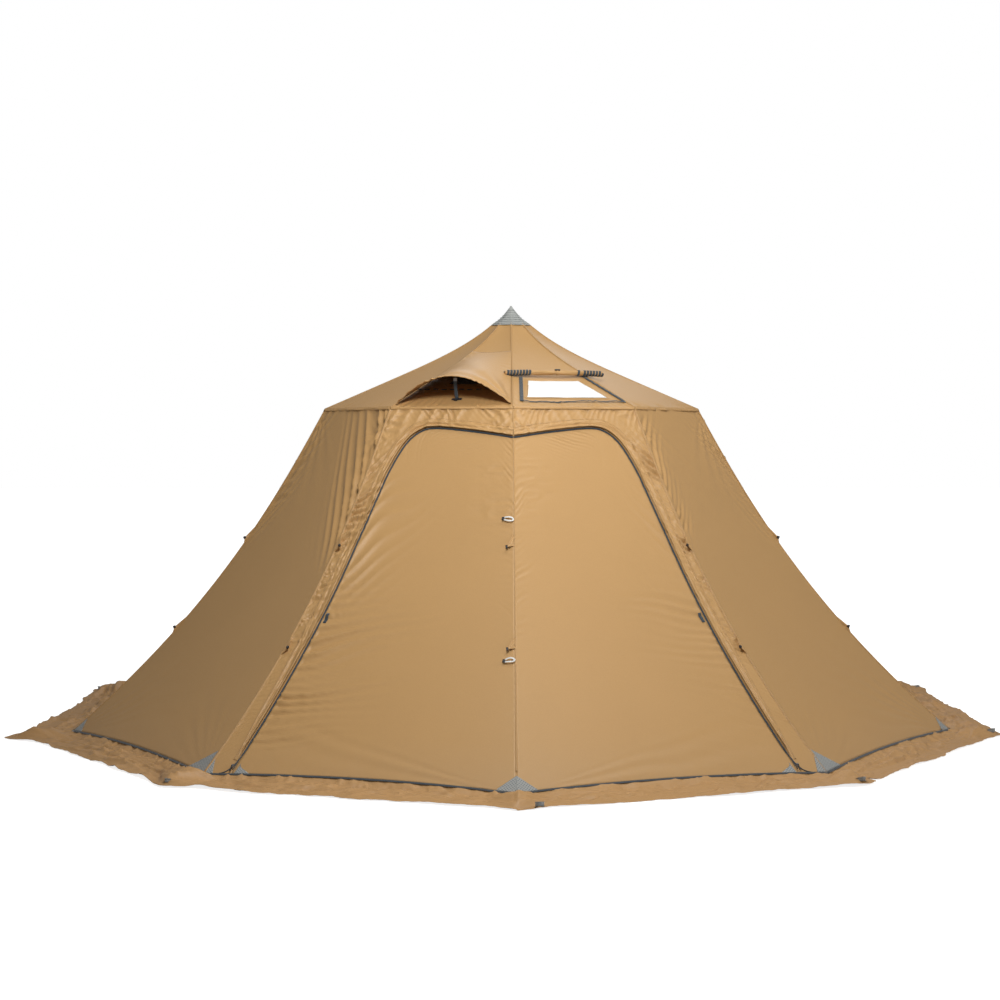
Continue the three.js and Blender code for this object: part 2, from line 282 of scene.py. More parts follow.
class Side(Enum):
    """The two halves of the front, seen from outside."""

    RIGHT = "right"
    LEFT = "left"

    @property
    def panel(self) -> int:
        """The front panel on this side."""
        return 0 if self is Side.RIGHT else FORM.sides - 1

    @property
    def sign(self) -> float:
        """Which way this side lies along X."""
        return 1.0 if self is Side.RIGHT else -1.0

    @property
    def door(self) -> str:
        """The body that the door leaf swings with."""
        return f"door_{self.value}"

    def u(self, share: Array) -> Array:
        """A panel's own place across, from the share across from the front seam."""
        return np.asarray(share, float) if self is Side.RIGHT else 1.0 - np.asarray(share, float)


# ---- meshes


def link_mesh(name: str, verts: Array, faces: Array | list, uv: Array | None = None) -> Piece:
    """Makes a smooth-shaded mesh object.

    Args:
        name: The piece's name.
        verts: Points, one row each.
        faces: Vertex numbers, one row for each face.
        uv: A place on the flat cloth, in metres, for each vertex.

    Returns:
        The new object, linked to the scene.
    """
    mesh = bpy.data.meshes.new(name)
    mesh.from_pydata([tuple(v) for v in np.asarray(verts, float).tolist()], [], [tuple(f) for f in faces])
    mesh.validate()
    mesh.polygons.foreach_set("use_smooth", [True] * len(mesh.polygons))
    if uv is not None:
        layer = mesh.uv_layers.new(name="cloth")
        loops = np.empty(len(mesh.loops), int)
        mesh.loops.foreach_get("vertex_index", loops)
        layer.data.foreach_set("uv", np.asarray(uv, float)[loops].ravel())
    mesh.update()
    obj = bpy.data.objects.new(name, mesh)
    bpy.context.scene.collection.objects.link(obj)
    return obj


def grid_faces(rows: int, columns: int, wrap: bool = False, start: int = 0) -> Array:
    """Quads of a grid of vertices, numbered row by row from start.

    Args:
        rows: Rows of points.
        columns: Points in a row.
        wrap: Whether each row closes on itself.
        start: First number.

    Returns:
        Vertex numbers, one row for each face.
    """
    i, j = np.meshgrid(np.arange(rows - 1), np.arange(columns if wrap else columns - 1), indexing="ij")
    nxt = (j + 1) % columns
    quads = np.stack([i * columns + j, i * columns + nxt, (i + 1) * columns + nxt, (i + 1) * columns + j],
                     -1)
    return quads.reshape(-1, 4) + start


def grid_piece(name: str, points: Array, uv: Array | None = None) -> Piece:
    """A sheet from a grid of points, [row, column, xyz].

    Args:
        name: The piece's name.
        points: Points in order.
        uv: Places on the flat cloth.

    Returns:
        The new object.
    """
    rows, columns = points.shape[:2]
    flat = None if uv is None else uv.reshape(-1, 2)
    return link_mesh(name, points.reshape(-1, 3), grid_faces(rows, columns), flat)


def joined(name: str, parts: Sequence[Part]) -> Piece:
    """One object from several (verts, faces, uv) parts.

    Args:
        name: The piece's name.
        parts: The parts.

    Returns:
        The new object.
    """
    verts, faces, uvs, start = [], [], [], 0
    for v, f, uv in parts:
        v = np.asarray(v, float).reshape(-1, 3)
        verts.append(v)
        faces += [tuple(int(i) + start for i in face) for face in f]
        uvs.append(np.zeros((len(v), 2)) if uv is None else np.asarray(uv).reshape(-1, 2))
        start += len(v)
    return link_mesh(name, np.vstack(verts), faces, np.vstack(uvs))


def grid_part(points: Array, uv: Array | None = None) -> Part:
    """A grid of points as a part for joined()."""
    rows, columns = points.shape[:2]
    return points.reshape(-1, 3), grid_faces(rows, columns), None if uv is None else uv.reshape(-1, 2)


def thicken(obj: Piece, thickness: float, offset: float = 0.0) -> Piece:
    """Gives a sheet real thickness, and applies it.

    Args:
        obj: The piece.
        thickness: How thick.
        offset: Which side it grows to, from -1 to 1.

    Returns:
        The object.
    """
    mod = obj.modifiers.new("thickness", "SOLIDIFY")
    mod.thickness = thickness
    mod.offset = offset
    apply_modifiers(obj)
    return obj


def apply_modifiers(obj: Piece) -> None:
    """Replaces the object's mesh with its modified one.

    Args:
        obj: The piece.
    """
    deps = bpy.context.evaluated_depsgraph_get()
    mesh = bpy.data.meshes.new_from_object(obj.evaluated_get(deps))
    obj.modifiers.clear()
    obj.data = mesh


def tangent_frames(path: Array, up: Array) -> tuple[Array, Array]:
    """Side and up directions along a path, square to it.

    Args:
        path: Points in order.
        up: A direction, or one for each point, that up stays close to.

    Returns:
        Side and up directions, one row each for every point.
    """
    tangent = np.gradient(path, axis=0)
    tangent /= np.linalg.norm(tangent, axis=1, keepdims=True) + 1e-12
    up = np.broadcast_to(up, path.shape)
    side = np.cross(tangent, up)
    side /= np.linalg.norm(side, axis=1, keepdims=True) + 1e-12
    return side, np.cross(side, tangent)


def ribbon_part(path: Array, up: Array, section: Section) -> Part:
    """A closed section, (side, up) points, swept along a path and capped.

    Args:
        path: Points in order.
        up: The face direction, one for all or one for each point.
        section: Corners of the section, in order round it.

    Returns:
        A part for joined().
    """
    side, top = tangent_frames(path, up)
    sec = np.array(section, float)
    points = path[:, None, :] + sec[None, :, :1] * side[:, None, :] + sec[None, :, 1:] * top[:, None, :]
    rows, columns = points.shape[:2]
    faces = [tuple(f) for f in grid_faces(rows, columns, wrap=True)]
    faces.append(tuple(range(columns - 1, -1, -1)))
    faces.append(tuple(range((rows - 1) * columns, rows * columns)))
    along = np.concatenate([[0.0], np.cumsum(np.linalg.norm(np.diff(path, axis=0), axis=1))])
    uv = together(along[:, None], sec[None, :, 0] + sec[None, :, 1])
    return points.reshape(-1, 3), faces, uv.reshape(-1, 2)


def ribbon(name: str, path: Array, up: Array, section: Section) -> Piece:
    """One object from a single ribbon_part()."""
    return joined(name, [ribbon_part(path, up, section)])


def tape_section(width: float, thickness: float, lift: float = 0.0) -> list[tuple[float, float]]:
    """Section of a flat tape with softened edges.

    Args:
        width: Width.
        thickness: How thick.
        lift: Height off the path.

    Returns:
        Corners in order.
    """
    w, t = width / 2, thickness
    return [
        (-w, lift + 0.2 * t), (-w + 0.4 * t, lift), (w - 0.4 * t, lift), (w, lift + 0.2 * t),
        (w, lift + 0.8 * t), (w - 0.4 * t, lift + t), (-w + 0.4 * t, lift + t), (-w, lift + 0.8 * t),
    ]


def round_section(radius: float, sides: int = 8, lift: float = 0.0) -> list[tuple[float, float]]:
    """Section of a round cord or tube."""
    steps = np.linspace(0, 2 * math.pi, sides, endpoint=False)
    return [(radius * math.cos(a), lift + radius * math.sin(a)) for a in steps]


# ---- materials


class Weave(Enum):
    """How a cloth is woven: plain, or with a grid of thicker threads."""

    PLAIN = "plain"
    RIPSTOP = "ripstop"


def new_group(name: str, inputs: Sequence[tuple[str, str, float | tuple]],
              outputs: Sequence[tuple[str, str]]) -> tuple[Tree, Node, Node]:
    """Starts a shader node group.

    Args:
        name: The group's name.
        inputs: Name, socket type and default of each input.
        outputs: Name and socket type of each output.

    Returns:
        The group, its input node and its output node.
    """
    group = bpy.data.node_groups.new(name, "ShaderNodeTree")
    for label, kind, default in inputs:
        socket = group.interface.new_socket(label, in_out="INPUT", socket_type=kind)
        socket.default_value = default
    for label, kind in outputs:
        group.interface.new_socket(label, in_out="OUTPUT", socket_type=kind)
    return group, group.nodes.new("NodeGroupInput"), group.nodes.new("NodeGroupOutput")


def new_material(name: str) -> tuple[bpy.types.Material, Tree, Node]:
    """A material with its node tree and its main shader.

    Args:
        name: The piece's name.

    Returns:
        The material, its tree and its shader.
    """
    mat = bpy.data.materials.new(name)
    mat.use_nodes = True
    return mat, mat.node_tree, mat.node_tree.nodes["Principled BSDF"]


def add_node(tree: Tree, kind: str, inputs: dict | None = None, **settings: object) -> Node:
    """Adds a node, sets its properties, and sets or links its inputs.

    Args:
        tree: Where the node goes.
        kind: Type of node.
        inputs: Values or sockets for its inputs.

    Returns:
        The node.
    """
    node = tree.nodes.new(kind)
    for key, value in settings.items():
        setattr(node, key, value)
    for key, value in (inputs or {}).items():
        if isinstance(value, Socket):
            tree.links.new(value, node.inputs[key])
        else:
            node.inputs[key].default_value = value
    return node


def math_node(tree: Tree, operation: str, a: Socket | float, b: Socket | float = 0.0,
              c: Socket | float = 0.0) -> Socket:
    """A Math node's output."""
    return add_node(tree, "ShaderNodeMath", {0: a, 1: b, 2: c}, operation=operation).outputs[0]


def mix_colour(tree: Tree, factor: Socket | float, a: Socket, b: Socket | tuple,
               blend: str = "MIX") -> Socket:
    """A colour Mix node's output."""
    node = add_node(tree, "ShaderNodeMix", {0: factor, 6: a, 7: b}, data_type="RGBA", blend_type=blend)
    return node.outputs[2]


def weave_group() -> Tree:
    """Woven threads: a height and a shade for a cloth of the given thread spacing.

    Returns:
        The group.
    """
    group, gin, gout = new_group(
        "woven_threads",
        [("Vector", "NodeSocketVector", (0, 0, 0)), ("Threads per metre", "NodeSocketFloat", 900.0),
         ("Slub", "NodeSocketFloat", 0.35)],
        [("Height", "NodeSocketFloat"), ("Shade", "NodeSocketFloat")],
    )
    split = add_node(group, "ShaderNodeSeparateXYZ", {0: gin.outputs["Vector"]})
    spin = math_node(group, "MULTIPLY", gin.outputs["Threads per metre"], math.pi)
    warp = math_node(group, "ABSOLUTE",
                     math_node(group, "SINE", math_node(group, "MULTIPLY", split.outputs[0], spin)))
    weft = math_node(group, "ABSOLUTE",
                     math_node(group, "SINE", math_node(group, "MULTIPLY", split.outputs[1], spin)))
    height = math_node(group, "MULTIPLY", math_node(group, "ADD", warp, weft), 0.5)
    slubs = add_node(group, "ShaderNodeTexNoise",
                     {"Vector": gin.outputs["Vector"], "Scale": 160.0, "Detail": 4.0})
    shade = math_node(group, "MULTIPLY_ADD", math_node(group, "SUBTRACT", slubs.outputs[0], 0.5),
                      gin.outputs["Slub"], 0.5)
    group.links.new(height, gout.inputs["Height"])
    group.links.new(shade, gout.inputs["Shade"])
    return group


def blotch_group() -> Tree:
    """Slow changes of tone over a cloth, with a little ground dust low down.

    Returns:
        The group.
    """
    group, gin, gout = new_group(
        "tone_and_dust",
        [("Colour", "NodeSocketColor", (0.5, 0.4, 0.3, 1)), ("Variation", "NodeSocketFloat", 0.12),
         ("Dust", "NodeSocketFloat", 0.2), ("Dust colour", "NodeSocketColor", (0.45, 0.38, 0.3, 1)),
         ("Fade height", "NodeSocketFloat", 0.25)],
        [("Colour", "NodeSocketColor"), ("Mask", "NodeSocketFloat")],
    )
    place = add_node(group, "ShaderNodeTexCoord")
    slow = add_node(group, "ShaderNodeTexNoise",
                    {"Vector": place.outputs["Object"], "Scale": 1.6, "Detail": 3.0, "Roughness": 0.55})
    fine = add_node(group, "ShaderNodeTexNoise",
                    {"Vector": place.outputs["Object"], "Scale": 42.0, "Detail": 5.0, "Roughness": 0.6})
    both = math_node(group, "ADD", math_node(group, "MULTIPLY", slow.outputs[0], 0.65),
                     math_node(group, "MULTIPLY", fine.outputs[0], 0.35))
    swing = math_node(group, "MULTIPLY", math_node(group, "SUBTRACT", both, 0.5), gin.outputs["Variation"])
    level = math_node(group, "MULTIPLY_ADD", swing, 2.0, 1.0)
    tone = add_node(group, "ShaderNodeCombineColor", {0: level, 1: level, 2: level})
    toned = mix_colour(group, 1.0, gin.outputs["Colour"], tone.outputs[0], "MULTIPLY")
    split = add_node(group, "ShaderNodeSeparateXYZ", {0: place.outputs["Object"]})
    low = add_node(group, "ShaderNodeMapRange",
                   {"Value": split.outputs[2], "From Min": 0.0, "From Max": gin.outputs["Fade height"],
                    "To Min": 1.0, "To Max": 0.0})
    speck = add_node(group, "ShaderNodeTexNoise",
                     {"Vector": place.outputs["Object"], "Scale": 14.0, "Detail": 8.0, "Roughness": 0.7})
    mask = math_node(group, "MULTIPLY", math_node(group, "MULTIPLY", low.outputs[0], speck.outputs[0]),
                     gin.outputs["Dust"])
    dusty = mix_colour(group, mask, toned, gin.outputs["Dust colour"])
    group.links.new(dusty, gout.inputs["Colour"])
    group.links.new(mask, gout.inputs["Mask"])
    return group


def ripstop_group() -> Tree:
    """A square grid of thicker threads, as a mask of the lines.

    Returns:
        The group.
    """
    group, gin, gout = new_group(
        "ripstop_grid",
        [("Vector", "NodeSocketVector", (0, 0, 0)), ("Spacing", "NodeSocketFloat", 0.008),
         ("Line", "NodeSocketFloat", 0.14), ("Turn", "NodeSocketFloat", 0.0)],
        [("Lines", "NodeSocketFloat")],
    )
    turned = add_node(group, "ShaderNodeVectorRotate",
                      {"Vector": gin.outputs["Vector"], "Angle": gin.outputs["Turn"]},
                      rotation_type="Z_AXIS")
    split = add_node(group, "ShaderNodeSeparateXYZ", {0: turned.outputs[0]})
    edges = []
    for axis in (0, 1):
        cell = math_node(group, "FRACT",
                         math_node(group, "DIVIDE", split.outputs[axis], gin.outputs["Spacing"]))
        edges.append(math_node(group, "LESS_THAN", cell, gin.outputs["Line"]))
    group.links.new(math_node(group, "MAXIMUM", edges[0], edges[1]), gout.inputs["Lines"])
    return group


class ShaderKit:
    """The shared node groups, each built once."""

    def __init__(self) -> None:
        """Builds the groups."""
        self.weave = weave_group()
        self.blotch = blotch_group()
        self.ripstop = ripstop_group()

    def place(self, tree: Tree, group: Tree, inputs: dict | None = None) -> Node:
        """Puts a group into a material's tree."""
        return add_node(tree, "ShaderNodeGroup", inputs, node_tree=group)


@dataclass(frozen=True)
class ClothFinish:
    """A woven cloth: its colour, weave and sheen."""

    name: str
    slot: str
    colour: tuple[float, float, float]
    weave: Weave = Weave.PLAIN
    threads: float = 900.0
    roughness: float = 0.55
    sheen: float = 0.25
    variation: float = 0.1
    dust: float = 0.15
    bump: float = 0.25
    grid_colour: tuple[float, float, float] = (0.6, 0.6, 0.6)
    grid_spacing: float = 0.008
    grid_line: float = 0.14

    def build(self, kit: ShaderKit) -> bpy.types.Material:
        """Makes the material.

        Args:
            kit: The shared node groups.

        Returns:
            The material.
        """
        mat, tree, shader = new_material(self.name)
        shader.inputs["Roughness"].default_value = self.roughness
        shader.inputs["Sheen Weight"].default_value = self.sheen
        shader.inputs["Sheen Roughness"].default_value = 0.4
        shader.inputs["Specular IOR Level"].default_value = 0.4
        cloth = add_node(tree, "ShaderNodeUVMap", uv_map="cloth").outputs[0]
        tone = kit.place(tree, kit.blotch, {"Colour": (*self.colour, 1), "Variation": self.variation,
                                            "Dust": self.dust})
        threads = kit.place(tree, kit.weave, {"Vector": cloth, "Threads per metre": self.threads})
        colour = mix_colour(tree, 0.35, tone.outputs["Colour"], threads.outputs["Shade"], "SOFT_LIGHT")
        height = threads.outputs["Height"]
        if self.weave is Weave.RIPSTOP:
            grid = kit.place(tree, kit.ripstop, {"Vector": cloth, "Spacing": self.grid_spacing,
                                                 "Line": self.grid_line, "Turn": math.radians(45)})
            colour = mix_colour(tree, grid.outputs["Lines"], colour, (*self.grid_colour, 1))
            height = math_node(tree, "MULTIPLY_ADD", grid.outputs["Lines"], 1.5, height)
        tree.links.new(colour, shader.inputs["Base Color"])
        bump = add_node(tree, "ShaderNodeBump",
                        {"Height": height, "Strength": self.bump, "Distance": 0.0006})
        tree.links.new(bump.outputs[0], shader.inputs["Normal"])
        return mat


@dataclass(frozen=True)
class HardFinish:
    """A moulded or metal finish with fine grain and uneven tone."""

    name: str
    slot: str
    colour: tuple[float, float, float]
    roughness: float = 0.45
    metallic: float = 0.0
    grain: float = 400.0
    bump: float = 0.12
    wear: float = 0.12

    def build(self, kit: ShaderKit) -> bpy.types.Material:
        """Makes the material.

        Args:
            kit: The shared node groups.

        Returns:
            The material.
        """
        mat, tree, shader = new_material(self.name)
        shader.inputs["Metallic"].default_value = self.metallic
        tone = kit.place(tree, kit.blotch,
                         {"Colour": (*self.colour, 1), "Variation": self.wear, "Dust": 0.05})
        tree.links.new(tone.outputs["Colour"], shader.inputs["Base Color"])
        place = add_node(tree, "ShaderNodeTexCoord")
        grain = add_node(tree, "ShaderNodeTexNoise",
                         {"Vector": place.outputs["Object"], "Scale": self.grain, "Detail": 4.0})
        rough = math_node(tree, "MULTIPLY_ADD", grain.outputs[0], 0.25, self.roughness - 0.12)
        tree.links.new(rough, shader.inputs["Roughness"])
        bump = add_node(tree, "ShaderNodeBump",
                        {"Height": grain.outputs[0], "Strength": self.bump, "Distance": 0.0004})
        tree.links.new(bump.outputs[0], shader.inputs["Normal"])
        return mat


class Palette:
    """Every finish of the tent, built once."""

    TAN = ClothFinish("tan_tent_cloth", "tan_cloth", (0.50, 0.294, 0.117), roughness=0.41, sheen=0.05,
                      variation=0.06)
    SKIRT = ClothFinish("tan_skirt_cloth", "tan_cloth", (0.50, 0.283, 0.112), roughness=0.46, sheen=0.04,
                        variation=0.10, dust=0.12)
    GREY = ClothFinish("grey_ripstop", "grey_ripstop", (0.19, 0.21, 0.22), Weave.RIPSTOP, roughness=0.6,
                       sheen=0.1,
                       grid_colour=(0.38, 0.39,
                                    0.38), grid_spacing=0.013, grid_line=0.38, bump=0.5, dust=0.05)
    DARK = ClothFinish("dark_webbing", "dark_webbing", (0.045, 0.058, 0.070), threads=420.0, roughness=0.75,
                       sheen=0.4, bump=0.7, dust=0.1)
    WHITE = ClothFinish("white_heat_cloth", "white_heat_cloth", (0.94, 0.95, 0.94), threads=500.0,
                        roughness=0.35, sheen=0.1,
                        variation=0.03, dust=0.0)
    NETTING = ClothFinish("dark_netting", "dark_netting", (0.05, 0.055, 0.06), Weave.RIPSTOP, threads=600.0,
                          roughness=0.8,
                          grid_colour=(0.12, 0.12, 0.12), grid_spacing=0.002, bump=0.6, dust=0.0)
    LOOP = ClothFinish("reflective_elastic", "white_heat_cloth", (0.72, 0.72, 0.70), threads=500.0,
                       roughness=0.3,
                       sheen=0.1, bump=0.4, dust=0.0)
    CAP = ClothFinish("grey_cap_cloth", "grey_ripstop", (0.36, 0.375, 0.365), threads=700.0, roughness=0.6,
                      sheen=0.1,
                      variation=0.05, dust=0.0)
    GREY_WEB = ClothFinish("grey_webbing", "grey_ripstop", (0.30, 0.31, 0.31), threads=450.0,
                           roughness=0.7, bump=0.6, dust=0.1)
    THREAD = ClothFinish("seam_thread", "tan_cloth", (0.33, 0.21, 0.10), threads=900.0, roughness=0.7)
    TUBE = HardFinish("anodised_tube", "aluminium_tube", (0.62, 0.63, 0.65), roughness=0.32, metallic=1.0,
                      grain=220.0, wear=0.06)
    PLASTIC = HardFinish("black_nylon", "black_plastic", (0.025, 0.025, 0.028), roughness=0.5)
    RUBBER = HardFinish("foot_rubber", "foot_rubber", (0.03, 0.03, 0.03), roughness=0.75, grain=700.0,
                        bump=0.3)

    def __init__(self, kit: ShaderKit) -> None:
        """Keeps the shared node groups; each finish's material is built when it is first painted."""
        self.kit = kit
        self.made: dict[str, bpy.types.Material] = {}

    def paint(self, obj: Piece, finish: ClothFinish | HardFinish) -> Piece:
        """Puts a finish on an object, in place of what it has.

        Args:
            obj: The piece.
            finish: What it is made of.

        Returns:
            The object.
        """
        if finish.name not in self.made:
            self.made[finish.name] = finish.build(self.kit)
        obj.data.materials.clear()
        obj.data.materials.append(self.made[finish.name])
        return obj


# ---- folds in cloth


@dataclass(frozen=True)
class Pucker:
    """Short ridges that run off a sewn line into the cloth."""

    pitch: float
    depth: float
    reach: float
    slant: float = 0.0
    low: float = -1.0
    high: float = 9.0
    seed: int = 1
    fade: float = 0.15
    sway: float = 2.2
    uneven: float = 0.0

    def height(self, along: Array, away: Array) -> Array:
        """Lift of the cloth.

        Args:
            along: Length along the sewn line.
            away: Distance from it into the cloth, zero or more.

        Returns:
            Lift at each point.
        """
        band = smooth(self.low, self.low + self.fade,
                      along) * (1 - smooth(self.high - self.fade, self.high, along))
        away = np.maximum(away, 0.0)
        bend = noise(along / (5 * self.pitch), away / (2 * self.reach), self.seed)
        phase = (along + self.slant * away) / self.pitch
        phase = phase + self.sway * bend + self.uneven * noise(phase / 2.6, along * 0 + 0.3, self.seed + 7)
        wave = 1.0 - 2.0 * np.abs(np.sin(math.pi * phase)) ** 0.75
        gain = 0.12 + 1.6 * noise(phase / 1.7, along * 0, self.seed + 3) ** 1.6
        reach = self.reach * (0.6 + 0.8 * noise(phase / 2.3, along * 0 + 0.5, self.seed + 5))
        return self.depth * band * gain * wave * np.exp(-((away / reach) ** 1.5)) * smooth(0.0, 0.012, away)


@dataclass(frozen=True)
class Fan:
    """Long folds that spread from a pulled point."""

    x: float
    y: float
    aim: float
    spread: float
    folds: float
    depth: float
    reach: float
    seed: int = 1

    def height(self, x: Array, y: Array) -> Array:
        """Lift of the cloth at flat places x, y, in metres, near the pulled point.

        Args:
            x: Place across.
            y: Place up.

        Returns:
            Lift at each point.
        """
        dx, dy = x - self.x, y - self.y
        far = np.hypot(dx, dy) + 1e-6
        turn = np.arctan2(dy, dx) - math.radians(self.aim)
        turn = (turn + math.pi) % (2 * math.pi) - math.pi
        half = math.radians(self.spread) / 2
        window = 1 - smooth(0.55 * half, half, np.abs(turn))
        phase = turn / (2 * half) * self.folds + 0.6 * noise(far * 3, turn * 2, self.seed)
        wave = np.cos(2 * math.pi * phase)
        gain = 0.4 + 0.9 * noise(phase * 0.8, far * 0.7, self.seed + 2)
        window = window * smooth(0.0, 0.18, far) * np.exp(-((far / self.reach) ** 1.6))
        return self.depth * window * wave * gain


# ---- walls and doors


@dataclass
class DoorEdge:
    """The arched zip line of one door leaf, as (share of the panel from the front seam, height)."""

    knots: tuple[tuple[float, float], ...] = (
        (0.912, -0.04), (0.908, 0.5), (0.896, 1.0), (0.886, 1.3), (0.868, 1.54), (0.842, 1.72),
        (0.785, 1.87), (0.7, 1.945), (0.58, 1.966), (0.3, 1.945), (0.0, 1.908),
    )
    foot: float = 0.034

    def __post_init__(self) -> None:
        """Works out the curve in shares and in flat metres."""
        curve = catmull_rom(self.knots, 400)
        keep = curve[:, 1] >= self.foot
        self.curve = curve[keep]
        self.flat = to_flat(self.curve[:, 0], self.curve[:, 1])
        steps = np.linalg.norm(np.diff(self.flat, axis=0), axis=1)
        self.run = np.concatenate([[0.0], np.cumsum(steps)])

    def at(self, run: Array) -> Array:
        """(share, height) at a length along the line from the ground."""
        return np.stack([np.interp(run, self.run, self.curve[:, i]) for i in (0, 1)], -1)

    def distance(self, share: Array, z: Array) -> tuple[Array, Array]:
        """Length along the line and signed distance from it, positive outside the leaf.

        Args:
            share: Share of the panel from the front seam.
            z: Height.

        Returns:
            Length along the line of its nearest point, and the distance.
        """
        p = to_flat(share, z).reshape(-1, 2)
        line = self.flat[::3]
        run = self.run[::3]
        tangent = np.gradient(line, axis=0)
        tangent /= np.linalg.norm(tangent, axis=1, keepdims=True)
        best = np.empty(len(p), int)
        for i in range(0, len(p), 4000):
            block = p[i : i + 4000]
            best[i : i + 4000] = ((block[:, None] - line[None]) ** 2).sum(-1).argmin(1)
        off = p - line[best]
        t = tangent[best]
        away = off[:, 0] * t[:, 1] - off[:, 1] * t[:, 0]
        along = run[best] + (off * t).sum(1)
        shape = np.broadcast(share, z).shape
        return along.reshape(shape), away.reshape(shape)


def to_flat(share: Array, z: Array) -> Array:
    """Flat cloth place of a front panel: metres across from the front seam, metres up the slope."""
    share, z = np.broadcast_arrays(np.asarray(share, float), np.asarray(z, float))
    return np.stack([share * FORM.width(FORM.wall_radius(z)), FORM.wall_run(z)], -1)


